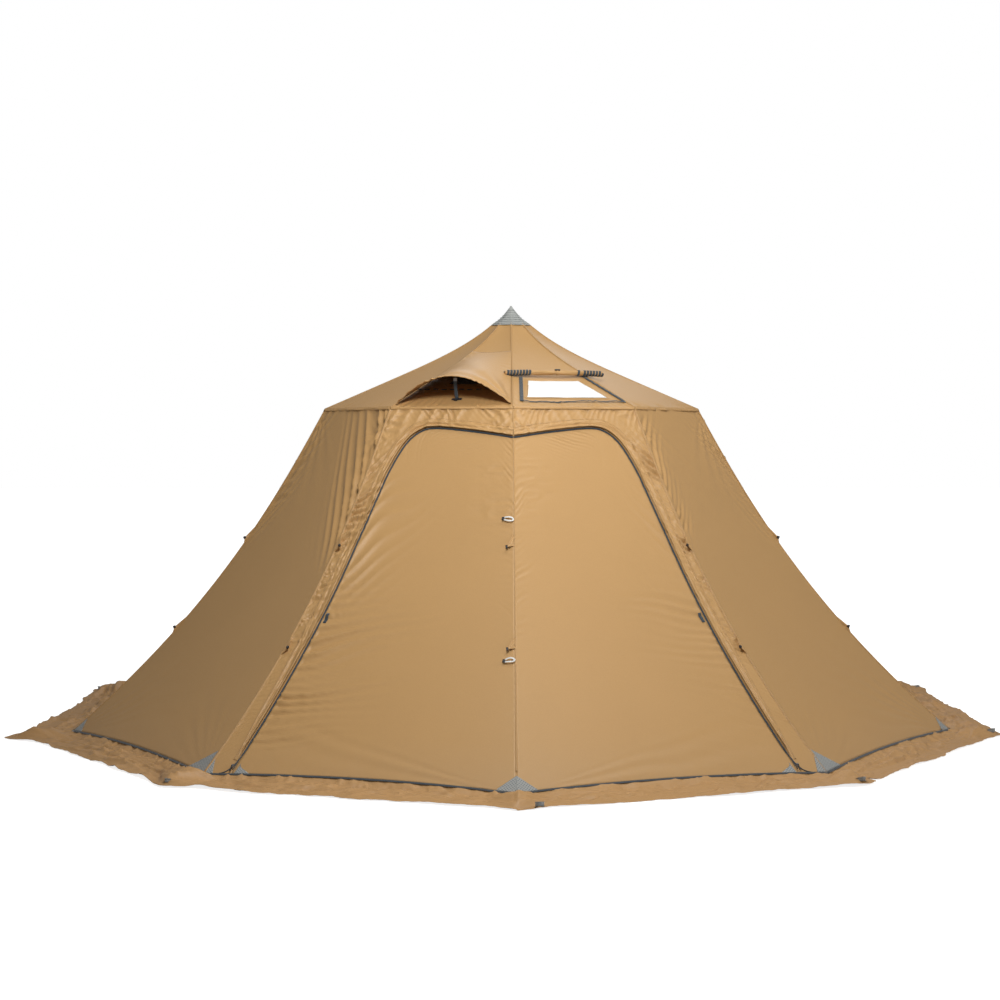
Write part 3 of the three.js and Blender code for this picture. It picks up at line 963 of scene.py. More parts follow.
class WallCloth:
    """The cloth surface of the ten wall panels, with its folds."""

    def __init__(self, door: DoorEdge) -> None:
        """Keeps the door line, which the front panels' folds follow.

        Args:
            door: The zip line.
        """
        self.door = door
        self.seam_puckers = {
            "front_outer": (
                Pucker(0.062, 0.0125, 0.10, -0.9, 1.6, 2.75, 11),
                Pucker(0.040, 0.0085, 0.07, -0.6, 0.9, 2.1, 12),
                Pucker(0.034, 0.0048, 0.06, -0.8, 0.1, 1.2, 13),
            ),
            "side": (
                Pucker(0.085, 0.0080, 0.12, 1.1, 1.75, 2.72, 21),
                Pucker(0.05, 0.0018, 0.06, 0.8, 0.2, 2.0, 22),
            ),
            "centre": (Pucker(0.05, 0.0024, 0.06, -0.9, 1.2, 2.6, 31),
                       Pucker(0.06, 0.0012, 0.05, 0.6, 0.3, 1.4, 33)),
            "eave": (Pucker(0.040, 0.0062, 0.10, 0.5, -0.1, 1.0, 41),
                     Pucker(0.085, 0.0070, 0.15, -0.7, -0.1, 1.0, 43)),
        }

    def foot(self, u: Array) -> Array:
        """Height of the wall's bottom edge: a shallow lift between the pegged corners."""
        return 0.030 + 0.022 * 4 * np.asarray(u) * (1 - np.asarray(u))

    def lift(self, k: int, u: Array, z: Array) -> Array:
        """Lift of panel k's cloth off its plain surface, inward where negative.

        Args:
            k: Panel, or seam, number.
            u: Share across the panel, from seam k.
            z: Height.

        Returns:
            Lift at each point.
        """
        u, z = np.broadcast_arrays(np.asarray(u, float), np.asarray(z, float))
        width = FORM.width(FORM.wall_radius(z))
        up = FORM.wall_run(z)
        top = float(FORM.wall_run(FORM.eave_z))
        left, right = u * width, (1 - u) * width
        rise = np.clip(z / FORM.eave_z, 0, 1)
        total = -0.016 * 4 * u * (1 - u) * np.sin(math.pi * rise) ** 0.8
        total = total + 0.0022 * (noise(left * 2.2, up * 1.4, 60 + k) - 0.5)
        rim = smooth(0.0, 0.02, left) * smooth(0.0, 0.02, right) * smooth(0.0, 0.03, top - up)
        if k in (Side.RIGHT.panel, Side.LEFT.panel):
            total = total + rim * self.front_lift(k, u, z, width, up, top)
        else:
            total = total + rim * self.side_lift(k, left, right, up, top)
        return total

    def side_lift(self, k: int, left: Array, right: Array, up: Array, top: float) -> Array:
        """Folds of a plain panel.

        Args:
            k: Panel, or seam, number.
            left: Distance from seam k.
            right: Distance from seam k + 1.
            up: Length up the slope.
            top: Length up the slope at the eave.

        Returns:
            Lift at each point.
        """
        total = np.zeros(left.shape)
        seed = 100 * (k + 1)
        for i, pucker in enumerate(self.seam_puckers["side"]):
            for side, away in enumerate((left, right)):
                base = replace(pucker, slant=-pucker.slant, seed=seed + 10 * i + side)
                total += base.height(up, away)
        for side, away in enumerate((left, right)):
            strong = {(8, 1): 2.6, (1, 0): 0.6}.get((k, side), 1.0)
            slope = Pucker(0.19, 0.0058 * strong, 0.15 * (1.5 if strong > 2 else 1), -2.7, 1.45, top + 0.5,
                           seed + 41 + side, fade=0.5, sway=1.3, uneven=1.5)
            total += slope.height(up, away)
            total += Fan(0.0, 0.02, 40, 80, 7, 0.004 * (1.6 if (k, side) in ((1, 1), (6, 1)) else 0.5),
                         0.55,
                         seed + 51 + side).height(away, up)
            total += Fan(0.0, top, -62, 60, 5, 0.003, 0.5, seed + 61 + side).height(away, up)
        return total

    def front_lift(self, k: int, u: Array, z: Array, width: Array, up: Array, top: float) -> Array:
        """Folds of a front panel: its seams, its zip, its leaf and the strip under the eave.

        Args:
            k: Panel, or seam, number.
            u: Share across the panel, from seam k.
            z: Height.
            width: Width of the panel there.
            up: Length up the slope.
            top: Length up the slope at the eave.

        Returns:
            Lift at each point.
        """
        share = u if k == Side.RIGHT.panel else 1 - u
        seed = 7 * k
        inner, outer = share * width, (1 - share) * width
        along, away = self.door.distance(share, z)
        outside = smooth(-0.004, 0.004, away)
        leaf = 1 - outside
        total = np.zeros(share.shape)
        lines = (("front_outer", outside, up, outer), ("centre", 1.0, up, inner),
                 ("eave", outside, inner, top - up))
        for line, mask, length, far in lines:
            for pucker in self.seam_puckers[line]:
                total += mask * replace(pucker, seed=pucker.seed + seed).height(length, far)
        strength = 1.0 if k == Side.LEFT.panel else 0.55
        gathers = (
            Pucker(0.085, 0.0110 * strength, 0.25, -0.62, 0.15, 1.75, 71 + seed, fade=0.3),
            Pucker(0.048, 0.0042 * strength, 0.14, -0.70, 0.1, 1.7, 72 + seed, fade=0.3),
            Pucker(0.15, 0.0120 * strength, 0.15, -1.9, 1.3, 2.5, 73 + seed, fade=0.4),
        )
        for one in gathers:
            total += leaf * one.height(along, -away)
        total += leaf * Pucker(0.05, 0.0022, 0.2, 2.0, 2.4, 3.2, 76 + seed, fade=0.2).height(along, -away)
        ripples = 0.0022 * crumple(inner * 9, up * 22, 77 + seed, 2)
        knot = 0.011 * crumple(inner * 17, up * 14, 79 + seed,
                               3) * (1 - smooth(0.05, 0.26, inner)) * smooth(2.5, 2.56, up)
        total += outside * knot
        crushed = 0.0080 * crumple(up * 19, outer * 12, 81 + seed, 3) * smooth(0.006, 0.025, outer)
        total += outside * crushed * smooth(0.7, 1.2, up) * (1 - smooth(0.10, 0.17, outer))
        band = smooth(1.7, 2.0, up) * (1 - smooth(2.25, 2.45, up))
        total += leaf * ripples * band * (1 - smooth(0.1, 0.4, inner))
        total += leaf * Fan(0.0, 0.03, 8, 30, 4, 0.004, 1.1, 78 + seed).height(inner, up)
        return total

    def point(self, k: int, u: Array, z: Array, lift: Array = 0.0) -> Array:
        """Point on the folded cloth of panel k, lifted off it."""
        return FORM.wall(k, u, z, self.lift(k, u, z) + lift)

    def front(self, side: Side, share: Array, z: Array, lift: Array = 0.0) -> Array:
        """The same for a front panel, from its share across from the front seam."""
        return self.point(side.panel, side.u(share), z, lift)

    def normal(self, k: int, u: Array, z: Array) -> Array:
        """Outward direction of panel k's plain surface."""
        n = FORM.wall(k, u, z, np.full(np.shape(z), 1.0)) - FORM.wall(k, u, z, np.zeros(np.shape(z)))
        return n / np.linalg.norm(n, axis=-1, keepdims=True)



# ---- mounting pieces


@dataclass
class Fitter:
    palette: Palette
    cloth: WallCloth
    blend_start: float = 0.07
    blend_end: float = 0.45

    def on_wall(self, obj: Piece, finish: ClothFinish | HardFinish) -> Piece:
        """Fixes a piece to the walls.

        Args:
            obj: The piece.
            finish: What it is made of.

        Returns:
            The piece.
        """
        self.palette.paint(obj, finish)
        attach(obj, "root")
        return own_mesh(obj)

    def on_ground(self, obj: Piece, finish: ClothFinish | HardFinish) -> Piece:
        """Fixes a piece that lies on the ground."""
        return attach(self.palette.paint(obj, finish), "root")

    def on_roof(self, obj: Piece, finish: ClothFinish | HardFinish) -> Piece:
        """Fixes a piece to the roof, which rises and falls with the mast."""
        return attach(self.palette.paint(obj, finish), "mast_upper")

    def on_leaf(self, obj: Piece, finish: ClothFinish | HardFinish,
                side: Side) -> Piece:
        """Paints a piece that lies on a door leaf, and bakes its place into its mesh.

        Args:
            obj: The piece.
            finish: What it is made of.
            side: Which half of the front. Not used.

        Returns:
            The piece.
        """
        self.palette.paint(obj, finish)
        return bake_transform(obj)

    def sheet(self, obj: Piece, flat_grid: Array, held: str,
              rests_on: Sequence[str]) -> Piece:
        """Declares a piece as a sheet of cloth.

        Args:
            obj: The piece.
            flat_grid: The cut's own flat coordinates, [row, column, xy], in metres.
            held: How it is held. Not used.
            rests_on: Names of what it hangs from or lies on. Not used.

        Returns:
            The piece.
        """
        size = np.ptp(flat_grid.reshape(-1, 2), axis=0)
        a, b = flat_grid[1:, 1:] - flat_grid[:-1, :-1], flat_grid[1:, :-1] - flat_grid[:-1, 1:]
        area = float(np.abs(a[..., 0] * b[..., 1] - a[..., 1] * b[..., 0]).sum() / 2)
        if area < 0.31 * size[0] * size[1]:
            middle = flat_grid[:, flat_grid.shape[1] // 2]
            length = float(np.linalg.norm(np.diff(middle, axis=0), axis=1).sum())
            size = np.array([area / length, length])
        area = min(area, size[0] * size[1])
        LOG.info("%s: cloth %.2f x %.2f m, %.3f m2", obj.name, size[0], size[1], area)
        return obj


@dataclass
class SubAssembly:
    """A group of pieces, which are painted and mounted by the fitter."""

    fitter: Fitter

    @property
    def cloth(self) -> WallCloth:
        """The surface of the wall cloth."""
        return self.fitter.cloth


def wall_flat(k: int, u: Array, z: Array) -> Array:
    """Flat cloth coordinates on wall panel k."""
    z = np.asarray(z, float)
    return together((u - 0.5) * FORM.width(FORM.wall_radius(z)), FORM.wall_run(z))


# ---- walls


@dataclass
class Walls(SubAssembly):
    """The eight plain panels, their seam fells, stitching and the bottom binding."""

    columns: int = 120
    rows: int = 170
    fell_width: float = 0.017
    binding_width: float = 0.013

    def build(self) -> None:
        """Makes every piece of the walls."""
        for k in range(1, FORM.sides - 1):
            self.panel(k)
        for k in range(1, FORM.sides):
            self.fell(k)
        self.binding()

    def panel(self, k: int) -> None:
        """One plain panel, finer where it is seen beside the doors.

        Args:
            k: Panel number.
        """
        near = k in (1, FORM.sides - 2)
        u = steps_along(self.columns if near else self.columns // 2)
        t = steps_down(self.rows if near else self.rows // 2)
        foot = self.cloth.foot(u)
        z = foot + (FORM.eave_z + 0.002 - foot) * t
        flat = wall_flat(k, u, z)
        obj = grid_piece(f"wall_cloth_{k}", self.cloth.point(k, u, z), flat)
        thicken(obj, CLOTH_THICKNESS, -1)
        self.fitter.on_wall(obj, Palette.TAN)
        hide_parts(f"wall_panel_{k}")
        self.fitter.sheet(obj, flat, "stretched", [f"eave_tube_{k}"])

    def seam_path(self, k: int, lift: float, low: float = 0.03, high: float = 2.09,
                  steps: int = 90) -> tuple[Array, Array]:
        """Points up seam k and the outward direction there.

        Args:
            k: Seam number.
            lift: Height off the cloth.
            low: Lowest height.
            high: Highest height.
            steps: How many points.

        Returns:
            Points and directions.
        """
        z = np.linspace(low, high, steps)
        angle = k * FORM.sector
        out = np.array([math.sin(angle), -math.cos(angle), 0.0])
        radius = FORM.wall_radius(z)
        slope = np.gradient(radius, z)
        up = out[None, :] - slope[:, None] * UP
        up /= np.linalg.norm(up, axis=1, keepdims=True)
        path = radius[:, None] * out + z[:, None] * UP + up * lift
        return path, up

    def fell(self, k: int) -> None:
        """The folded seam down one corner, and its two rows of stitches.

        Args:
            k: Seam number.
        """
        path, up = self.seam_path(k, 0.0008)
        bend = 0.26 * self.fell_width / 2
        w = self.fell_width / 2
        section = [(-w, -bend - 0.0012), (0, 0.0), (w, -bend - 0.0012), (w, -bend + 0.0006), (0, 0.0022),
                   (-w, -bend + 0.0006)]
        fell = ribbon(f"seam_fell_{k}", path, up, section)
        self.fitter.on_wall(fell, Palette.TAN)
        rows = []
        for side in (-0.6, 0.6):
            section = [(x + side * w, y + 0.0012 - 0.6 * bend) for x, y in tape_section(0.0011, 0.0009)]
            rows.append(ribbon_part(path, up, section))
        self.fitter.on_wall(joined(f"seam_stitches_{k}", rows), Palette.THREAD)

    def binding(self) -> None:
        """Dark tape round the foot of all ten panels."""
        parts = []
        for k in range(FORM.sides):
            u = np.linspace(0, 1, 60)
            z = self.cloth.foot(u) - 0.004
            path = self.cloth.point(k, u, z, 0.003)
            up = self.cloth.normal(k, u, z)
            parts.append(ribbon_part(path, up, tape_section(self.binding_width, 0.002)))
        self.fitter.on_wall(joined("foot_binding", parts), Palette.DARK)


# ---- doors


@dataclass
class Door(SubAssembly):
    """One half of the front: surround, leaf, zip, storm flap, patches and small webbing pieces."""

    side: Side
    leaf_rows: int = 230
    leaf_columns: int = 100
    frame_rows: int = 400
    frame_columns: int = 34
    zip_half: float = 0.0058
    coil_radius: float = 0.0016
    flap_width: float = 0.066
    turn_share: float = 0.80

    def build(self) -> None:
        """Makes every piece on this side."""
        self.leaf()
        self.surround()
        self.flap()
        self.zip()
        self.webbing_patch()

    @property
    def edge(self) -> DoorEdge:
        """The zip line."""
        return self.cloth.door

    def pieces_flat(self, share: Array, z: Array) -> Array:
        """Flat cloth coordinates for the front panel on this side."""
        return wall_flat(self.side.panel, self.side.u(share), z)

    def leaf(self) -> None:
        """The door leaf, from the front seam out to the zip."""
        p = steps_down(self.leaf_rows)
        t = steps_along(self.leaf_columns)
        bound = self.edge.at(p[:, 0] * self.edge.run[-1])
        foot = float(self.cloth.foot(0.0))
        share = bound[:, :1] * t
        line = foot + (bound[-1, 1] - foot) * p
        z = line * (1 - t) + bound[:, 1:] * t
        first = foot * (1 - t) + bound[0, 1] * t
        z = z + (self.cloth.foot(share) - first) * (1 - p) ** 8
        flat = self.pieces_flat(share, z)
        obj = grid_piece(f"door_cloth_{self.side.value}", self.cloth.front(self.side, share, z),
                         flat)
        thicken(obj, CLOTH_THICKNESS, -1)
        self.fitter.on_leaf(obj, Palette.TAN, self.side)
        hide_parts(f"door_leaf_{self.side.value}")
        self.fitter.sheet(obj, flat, "stretched", [f"front_cloth_{self.side.value}"])

    def surround(self) -> None:
        """The cloth between the zip and the corner seam, the eave and the front seam."""
        edge = self.edge
        turn = float(np.interp(-self.turn_share, -edge.curve[::-1, 0][::-1], edge.run))
        low = int(self.frame_rows * turn / edge.run[-1])
        run = np.concatenate([np.linspace(0, turn, low),
                              np.linspace(turn, edge.run[-1], self.frame_rows - low + 1)[1:]])
        inner = edge.at(run)
        foot = float(self.cloth.foot(1.0))
        outer = np.empty_like(inner)
        top = FORM.eave_z + 0.002
        rise = np.clip(run / turn, 0, 1)
        outer[:, 0] = np.where(run <= turn, 1.0, np.interp(run, [turn, edge.run[-1]], [1.0, 0.0]))
        outer[:, 1] = np.where(run <= turn, foot + (top - foot) * rise, top)
        t = steps_along(self.frame_columns)
        share = inner[:, :1] * (1 - t) + outer[:, :1] * t
        z = inner[:, 1:] * (1 - t) + outer[:, 1:] * t
        flat = self.pieces_flat(share, z)
        obj = grid_piece(f"front_cloth_{self.side.value}", self.cloth.front(self.side, share, z),
                         flat)
        thicken(obj, CLOTH_THICKNESS, -1)
        self.fitter.on_wall(obj, Palette.TAN)
        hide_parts(f"wall_front_{self.side.value}")
        self.fitter.sheet(obj, flat, "stretched", [f"eave_tube_{self.side.panel}"])

    def offset_curve(self, away: Array, run: Array) -> tuple[Array, Array]:
        """Share and height of places beside the zip line.

        Args:
            away: Distance outside the line.
            run: Length along it.

        Returns:
            Share and height.
        """
        edge = self.edge
        flat = np.stack([np.interp(run, edge.run, edge.flat[:, i]) for i in (0, 1)], -1)
        slopes = [np.gradient(edge.flat[:, i], edge.run) for i in (0, 1)]
        tangent = np.stack([np.interp(run, edge.run, slope) for slope in slopes], -1)
        tangent /= np.linalg.norm(tangent, axis=-1, keepdims=True)
        place = flat + away[..., None] * np.stack([tangent[..., 1], -tangent[..., 0]], -1)
        zs = np.linspace(0, FORM.eave_z, 400)
        z = np.interp(place[..., 1], FORM.wall_run(zs), zs)
        return place[..., 0] / FORM.width(FORM.wall_radius(z)), z

    def flap(self) -> None:
        """The storm flap: a soft strip sewn outside the zip, which rolls over beside it."""
        run = np.linspace(0.10, self.edge.run[-1], 300)[:, None]
        t = steps_along(22)
        width = self.flap_width * (0.75 + 0.25 * smooth(0.1, 1.2, run))
        width = width * (0.55 + 0.45 * smooth(0.05, 0.5, run))
        run, t = np.broadcast_arrays(run, t)
        away = 0.009 + (width - 0.009) * t
        share, z = self.offset_curve(away, run)
        seed = 200 + self.side.panel
        roll = 0.013 * np.exp(-((t / 0.22) ** 2)) * (0.7 + 0.6 * noise(run * 2.6, t * 0 + 3, seed))
        folds = 0.0100 * crumple(t * 2.4 + 0.6 * noise(run * 1.5, t * 0, seed + 1), run * 1.5, seed + 2, 2)
        cross = 0.0052 * crumple(run * 17 + t * 2, t * 1.2, seed + 4, 3)
        lift = 0.004 + roll + (folds + cross) * np.sin(math.pi * np.clip(t, 0, 1)) ** 0.7
        lift = lift * smooth(0.0, 0.12, run - 0.10) * (1 - 0.9 * smooth(0.85, 1.0, t)) + 0.0012
        flat = np.stack([away, run], -1)
        share = np.minimum(share, 0.992)
        points = self.cloth.front(self.side, np.maximum(share, 0.0), z, lift)
        obj = grid_piece(f"storm_flap_{self.side.value}", points, flat)
        thicken(obj, 0.0012, -1)
        self.fitter.on_wall(obj, Palette.TAN)
        self.fitter.sheet(obj, flat, "hung", [f"front_cloth_{self.side.value}"])
        seam_share, seam_z = self.offset_curve(width[:, 0] + 0.002, run[:, 0])
        path = self.cloth.front(self.side, np.clip(seam_share, 0, 0.99), seam_z, 0.0014)
        up = self.cloth.normal(self.side.panel, self.side.u(seam_share), seam_z)
        fell = ribbon(f"flap_fell_{self.side.value}", path, up, tape_section(0.009, 0.0018))
        self.fitter.on_wall(fell, Palette.TAN)
        stitches = ribbon(f"flap_stitches_{self.side.value}", path, up,
                          tape_section(0.0012, 0.0008, 0.0016))
        self.fitter.on_wall(stitches, Palette.THREAD)

    def zip_line(self) -> Array:
        """Share and height of the zip's own line, curling out to the corner at its foot.

        Returns:
            Shares and heights, one row each.
        """
        run = np.linspace(0.16, self.edge.run[-1], 260)
        line = self.edge.at(run)
        curl = np.array([(0.950, 0.036), (0.938, 0.041), (0.9255, 0.056), (0.9170, 0.086)])
        knots = np.vstack([curl, line[2:6:3]])
        bend = catmull_rom([tuple(p) for p in knots], 30)
        return np.vstack([bend[:-1], line[5:]])

    def zip(self) -> None:
        """Two tapes with a coil between them: one along the surround, one along the leaf."""
        for label, sign in (("frame", 1.0), ("leaf", -1.0)):
            line = self.zip_line() if sign > 0 else self.edge.at(np.linspace(0.035, self.edge.run[-1], 260))
            share, z = line[:, 0], line[:, 1]
            path = self.cloth.front(self.side, share, z, 0.0022)
            up = self.cloth.normal(self.side.panel, self.side.u(share), z)
            outward = sign * self.side.sign
            tape = [(x - outward * self.zip_half / 2, y) for x, y in tape_section(self.zip_half, 0.0014)]
            coil = [(x - outward * self.coil_radius, y) for x,
                    y in round_section(self.coil_radius, 8, 0.0024)]
            parts = [ribbon_part(path, up, tape), ribbon_part(path, up, coil)]
            obj = joined(f"zip_{label}_tape_{self.side.value}", parts)
            if sign > 0:
                self.fitter.on_wall(obj, Palette.DARK)
            else:
                self.fitter.on_leaf(obj, Palette.DARK, self.side)

    def webbing_patch(self) -> None:
        """The short strap sewn to the leaf beside the zip."""
        share = np.full(8, 0.882)
        z = np.linspace(0.815, 0.868, 8)
        path = self.cloth.front(self.side, share, z, 0.002)
        path[3:5] += 0.004 * self.cloth.normal(self.side.panel, self.side.u(share[3:5]), z[3:5])
        up = self.cloth.normal(self.side.panel, self.side.u(share), z)
        obj = ribbon(f"leaf_strap_{self.side.value}", path, up, tape_section(0.020, 0.0022))
        self.fitter.on_leaf(obj, Palette.DARK, self.side)


@dataclass
class FrontSeam(SubAssembly):
    """The seam between the leaves: fell, stitches, tie tabs and elastic loops."""

    walls: Walls
    loop_heights: tuple[float, float] = (1.415, 0.648)
    tab_heights: tuple[float, float] = (1.285, 0.728)
    loop_reach: float = 0.066

    def build(self) -> None:
        """Makes every piece on the front seam."""
        path, up = self.walls.seam_path(0, 0.0006, 0.12, 2.09, 110)
        w = 0.006
        section = [(-w, -0.0028), (0, -0.0004), (w, -0.0028), (w, -0.0016), (0, 0.0012), (-w, -0.0016)]
        fell = ribbon("front_seam_fell", path, up, section)
        self.fitter.on_wall(fell, Palette.TAN)
        stitches = ribbon("front_seam_stitches", path, up, tape_section(0.0016, 0.0009, 0.0010))
        self.fitter.on_wall(stitches, Palette.THREAD)
        for i, z in enumerate(self.loop_heights):
            self.loop(i, z)
        for i, z in enumerate(self.tab_heights):
            self.tab(i, z)

    def frame_at(self, z: float) -> tuple[Array, Array, Array, Array]:
        """Seam point at height z, and the left, up-slope and outward directions of the left leaf there.

        Args:
            z: Height.

        Returns:
            The point and three directions.
        """
        path, _ = self.walls.seam_path(0, 0.0, z - 0.01, z + 0.01, 3)
        rise = path[2] - path[0]
        rise /= np.linalg.norm(rise)
        left, _ = FORM.axes(Side.LEFT.panel)
        out = np.cross(left, rise)
        out = out if out[1] < 0 else -out
        return path[1], -left, rise, out / np.linalg.norm(out)

    def loop(self, index: int, z: float) -> None:
        """A flat elastic loop laid out to the left, with a dark stop at its tip.

        Args:
            index: Which one, from the top.
            z: Height.
        """
        origin, left, rise, out = self.frame_at(z)
        a = np.linspace(0, 2 * math.pi, 40)
        x = 0.034 - 0.032 * np.cos(a)
        droop = 0.012 * (x / self.loop_reach) ** 2 * (1 if index else -0.4)
        y = 0.0125 * np.sin(a) * (1 + 0.25 * np.cos(a)) - droop
        height = 0.007 + 0.006 * np.sin(math.pi * x / self.loop_reach)
        path = origin + x[:, None] * left + y[:, None] * rise + height[:, None] * out
        obj = ribbon(f"door_loop_{index + 1}", path, out, tape_section(0.0095, 0.0024))
        self.fitter.on_wall(obj, Palette.LOOP)
        tip = origin + 0.064 * left + 0.009 * out + (-0.010 if index else 0.004) * rise
        stop_path = tip + np.linspace(-0.007, 0.009, 6)[:, None] * left
        stop = ribbon(f"door_loop_stop_{index + 1}", stop_path, out, tape_section(0.020, 0.007, -0.002))
        self.fitter.on_wall(stop, Palette.PLASTIC)

    def tab(self, index: int, z: float) -> None:
        """A folded cloth tab that stands off the seam, with its plastic eye.

        Args:
            index: Which one, from the top.
            z: Height.
        """
        origin, left, rise, out = self.frame_at(z)
        s = steps_down(14)
        t = np.linspace(-1, 1, 14)[None, :]
        s, t = np.broadcast_arrays(s, t)
        height = 0.085 * (1 - 0.88 * s)
        along = -0.052 * s + 0.5 * height * t + 0.018
        points = (
            origin
            + (0.001 + 0.036 * s)[..., None] * left
            + along[..., None] * rise
            + (0.004 + 0.022 * s * (1 - 0.5 * s) + 0.004 * np.cos(t * 5 + s * 3) * (1 - s))[..., None] * out
        )
        flat = np.stack([0.05 * s, along], -1)
        tab = thicken(grid_piece(f"front_tie_tab_{index + 1}", points, flat), 0.0014)
        self.fitter.on_wall(tab, Palette.TAN)
        tip = origin + 0.037 * left - 0.036 * rise + 0.016 * out
        pull = tip + steps_down(6) * (0.012 * left - 0.004 * rise)
        eye = ribbon(f"front_tie_eye_{index + 1}", pull, out, tape_section(0.021, 0.008, -0.004))
        self.fitter.on_wall(eye, Palette.PLASTIC)


# ---- corner fittings


@dataclass
class Corners(SubAssembly):
    """Reinforcing patches, tie-outs and peg loops at the ten seams."""

    walls: Walls
    wide_patch: tuple[float, float] = (0.21, 0.115)
    plain_patch: tuple[float, float] = (0.110, 0.080)
    strip_patch: tuple[float, float] = (0.055, 0.085)
    door_patch: tuple[float, float] = (0.125, 0.075)
    patch_thickness: float = 0.0008
    tie_heights: tuple[float, float] = (1.27, 0.69)
    lap: float = 0.0014
    peg_radius: float = 3.205
    front_peg_radius: float = 3.235

    def build(self) -> None:
        """Makes every piece at the corners."""
        for k in range(1, FORM.sides):
            self.side_patch(k)
            self.tie_outs(k)
        for side in Side:
            self.front_patch(side)
            self.leaf_patch(side)
        for k in range(FORM.sides):
            self.peg_loop(k)

    def triangle(self, k: int, corner: float, away: float, up: float,
                 lift: float = 0.0014) -> tuple[Array, Array, Array]:
        """A three-cornered patch on panel k: at its seam, along its foot, and up its seam.

        Args:
            k: Panel.
            corner: Which seam, 0 or 1.
            away: Length along the foot.
            up: Height up the seam.
            lift: Height off the cloth.

        Returns:
            A part for joined().
        """
        s = steps_down(14)
        t = steps_along(14)
        reach = away * (1 - s) * t
        width = FORM.width(FORM.base)
        u = reach / width if corner == 0 else 1 - reach / width
        foot = self.cloth.foot(u)
        z = foot + (up * s) + 0 * t
        flat = wall_flat(k, u, z)
        u = u + self.lap * (u > 0.999) - self.lap * (u < 0.001)
        return grid_part(self.cloth.point(k, u, z, lift), flat)

    def side_patch(self, k: int) -> None:
        """The patch round one corner, over the foot of both panels.

        Args:
            k: Seam number.
        """
        before, after = (k - 1) % FORM.sides, k % FORM.sides
        parts = []
        for panel, corner in ((before, 1), (after, 0)):
            if panel in (0, FORM.sides - 1):
                parts.append(self.triangle(panel, corner, *self.strip_patch))
            elif k in (1, FORM.sides - 1):
                parts.append(self.triangle(panel, corner, *self.wide_patch))
            else:
                parts.append(self.triangle(panel, corner, *self.plain_patch))
        obj = thicken(joined(f"corner_patch_{k}", parts), self.patch_thickness)
        self.fitter.on_wall(obj, Palette.GREY)

    def front_patch(self, side: Side) -> None:
        """Half of the patch at the front corner.

        Args:
            side: Which half of the front.
        """
        corner = 0 if side is Side.RIGHT else 1
        half = self.triangle(side.panel, corner, *self.door_patch, 0.0018)
        obj = thicken(joined(f"front_patch_{side.value}", [half]), self.patch_thickness)
        self.fitter.on_leaf(obj, Palette.GREY, side)

    def leaf_patch(self, side: Side) -> None:
        """The small patch at the outer foot of a leaf.

        Args:
            side: Which half of the front.
        """
        s = steps_down(10)
        t = steps_along(10)
        share = 0.902 - 0.052 * (1 - s) * t - 0.004 * s
        z = self.cloth.foot(share) + 0.05 * s * (1 - 0.3 * t)
        flat = wall_flat(side.panel, side.u(share), z)
        obj = grid_piece(f"leaf_patch_{side.value}", self.cloth.front(side, share, z, 0.0016), flat)
        thicken(obj, self.patch_thickness)
        self.fitter.on_leaf(obj, Palette.GREY, side)

    def tie_outs(self, k: int) -> None:
        """Two cloth tabs on a seam, each with a plastic eye.

        Args:
            k: Seam number.
        """
        tabs, eyes = [], []
        angle = k * FORM.sector
        for z in self.tie_heights:
            path, up = self.walls.seam_path(k, 0.0, z - 0.06, z + 0.06, 9)
            s = steps_down(12)
            t = steps_along(9)
            base = path[None, :, :]
            rise = (path[-1] - path[0]) / np.linalg.norm(path[-1] - path[0])
            tip = path[4] + up[4] * 0.017 - rise * 0.034
            side = np.array([math.cos(angle), math.sin(angle), 0.0])
            if k in (1, FORM.sides - 1):
                tip = path[4] + up[4] * 0.016 - rise * 0.030 + side * (-0.040 if k == 1 else 0.040)
            points = base * (1 - s[..., None]) + tip * s[..., None]
            wave = 0.004 * np.sin(math.pi * s) * np.cos(5 * t)
            points = points + wave[..., None] * side + (0.012 * (t - 0.5) * s)[..., None] * rise
            flat = together(s * 0.06, t * 0.12)
            tabs.append(grid_part(points, flat))
            drop = tip + np.linspace(-0.006, 0.012, 6)[:, None] * (up[4] * 0.5 - rise * 0.8)
            eyes.append(ribbon_part(drop, side, tape_section(0.017, 0.007, -0.0035)))
        tab = thicken(joined(f"tie_tabs_{k}", tabs), 0.0016)
        self.fitter.on_wall(tab, Palette.TAN)
        self.fitter.on_wall(joined(f"tie_eyes_{k}", eyes), Palette.PLASTIC)

    def peg_loop(self, k: int) -> None:
        """A round webbing loop at the foot of a seam, for a peg.

        Args:
            k: Seam number.
        """
        angle = k * FORM.sector + (0.035 if k == 0 else 0.0)
        out = np.array([math.sin(angle), -math.cos(angle), 0.0])
        side = np.array([math.cos(angle), math.sin(angle), 0.0])
        a = np.linspace(-math.pi, math.pi, 34)
        x = 0.030 * np.cos(a) + 0.012 * np.cos(a) ** 2
        radius = self.front_peg_radius if k == 0 else self.peg_radius
        path = out * radius + out * x[:, None] + side * (0.021 * np.sin(a))[:, None]
        path = path + UP * (0.028 + 0.010 * np.cos(a))[:, None]
        strap = ribbon(f"peg_loop_{k}", path, UP, tape_section(0.004, 0.020, -0.010))
        self.fitter.on_ground(strap, Palette.GREY_WEB)


# ---- skirt


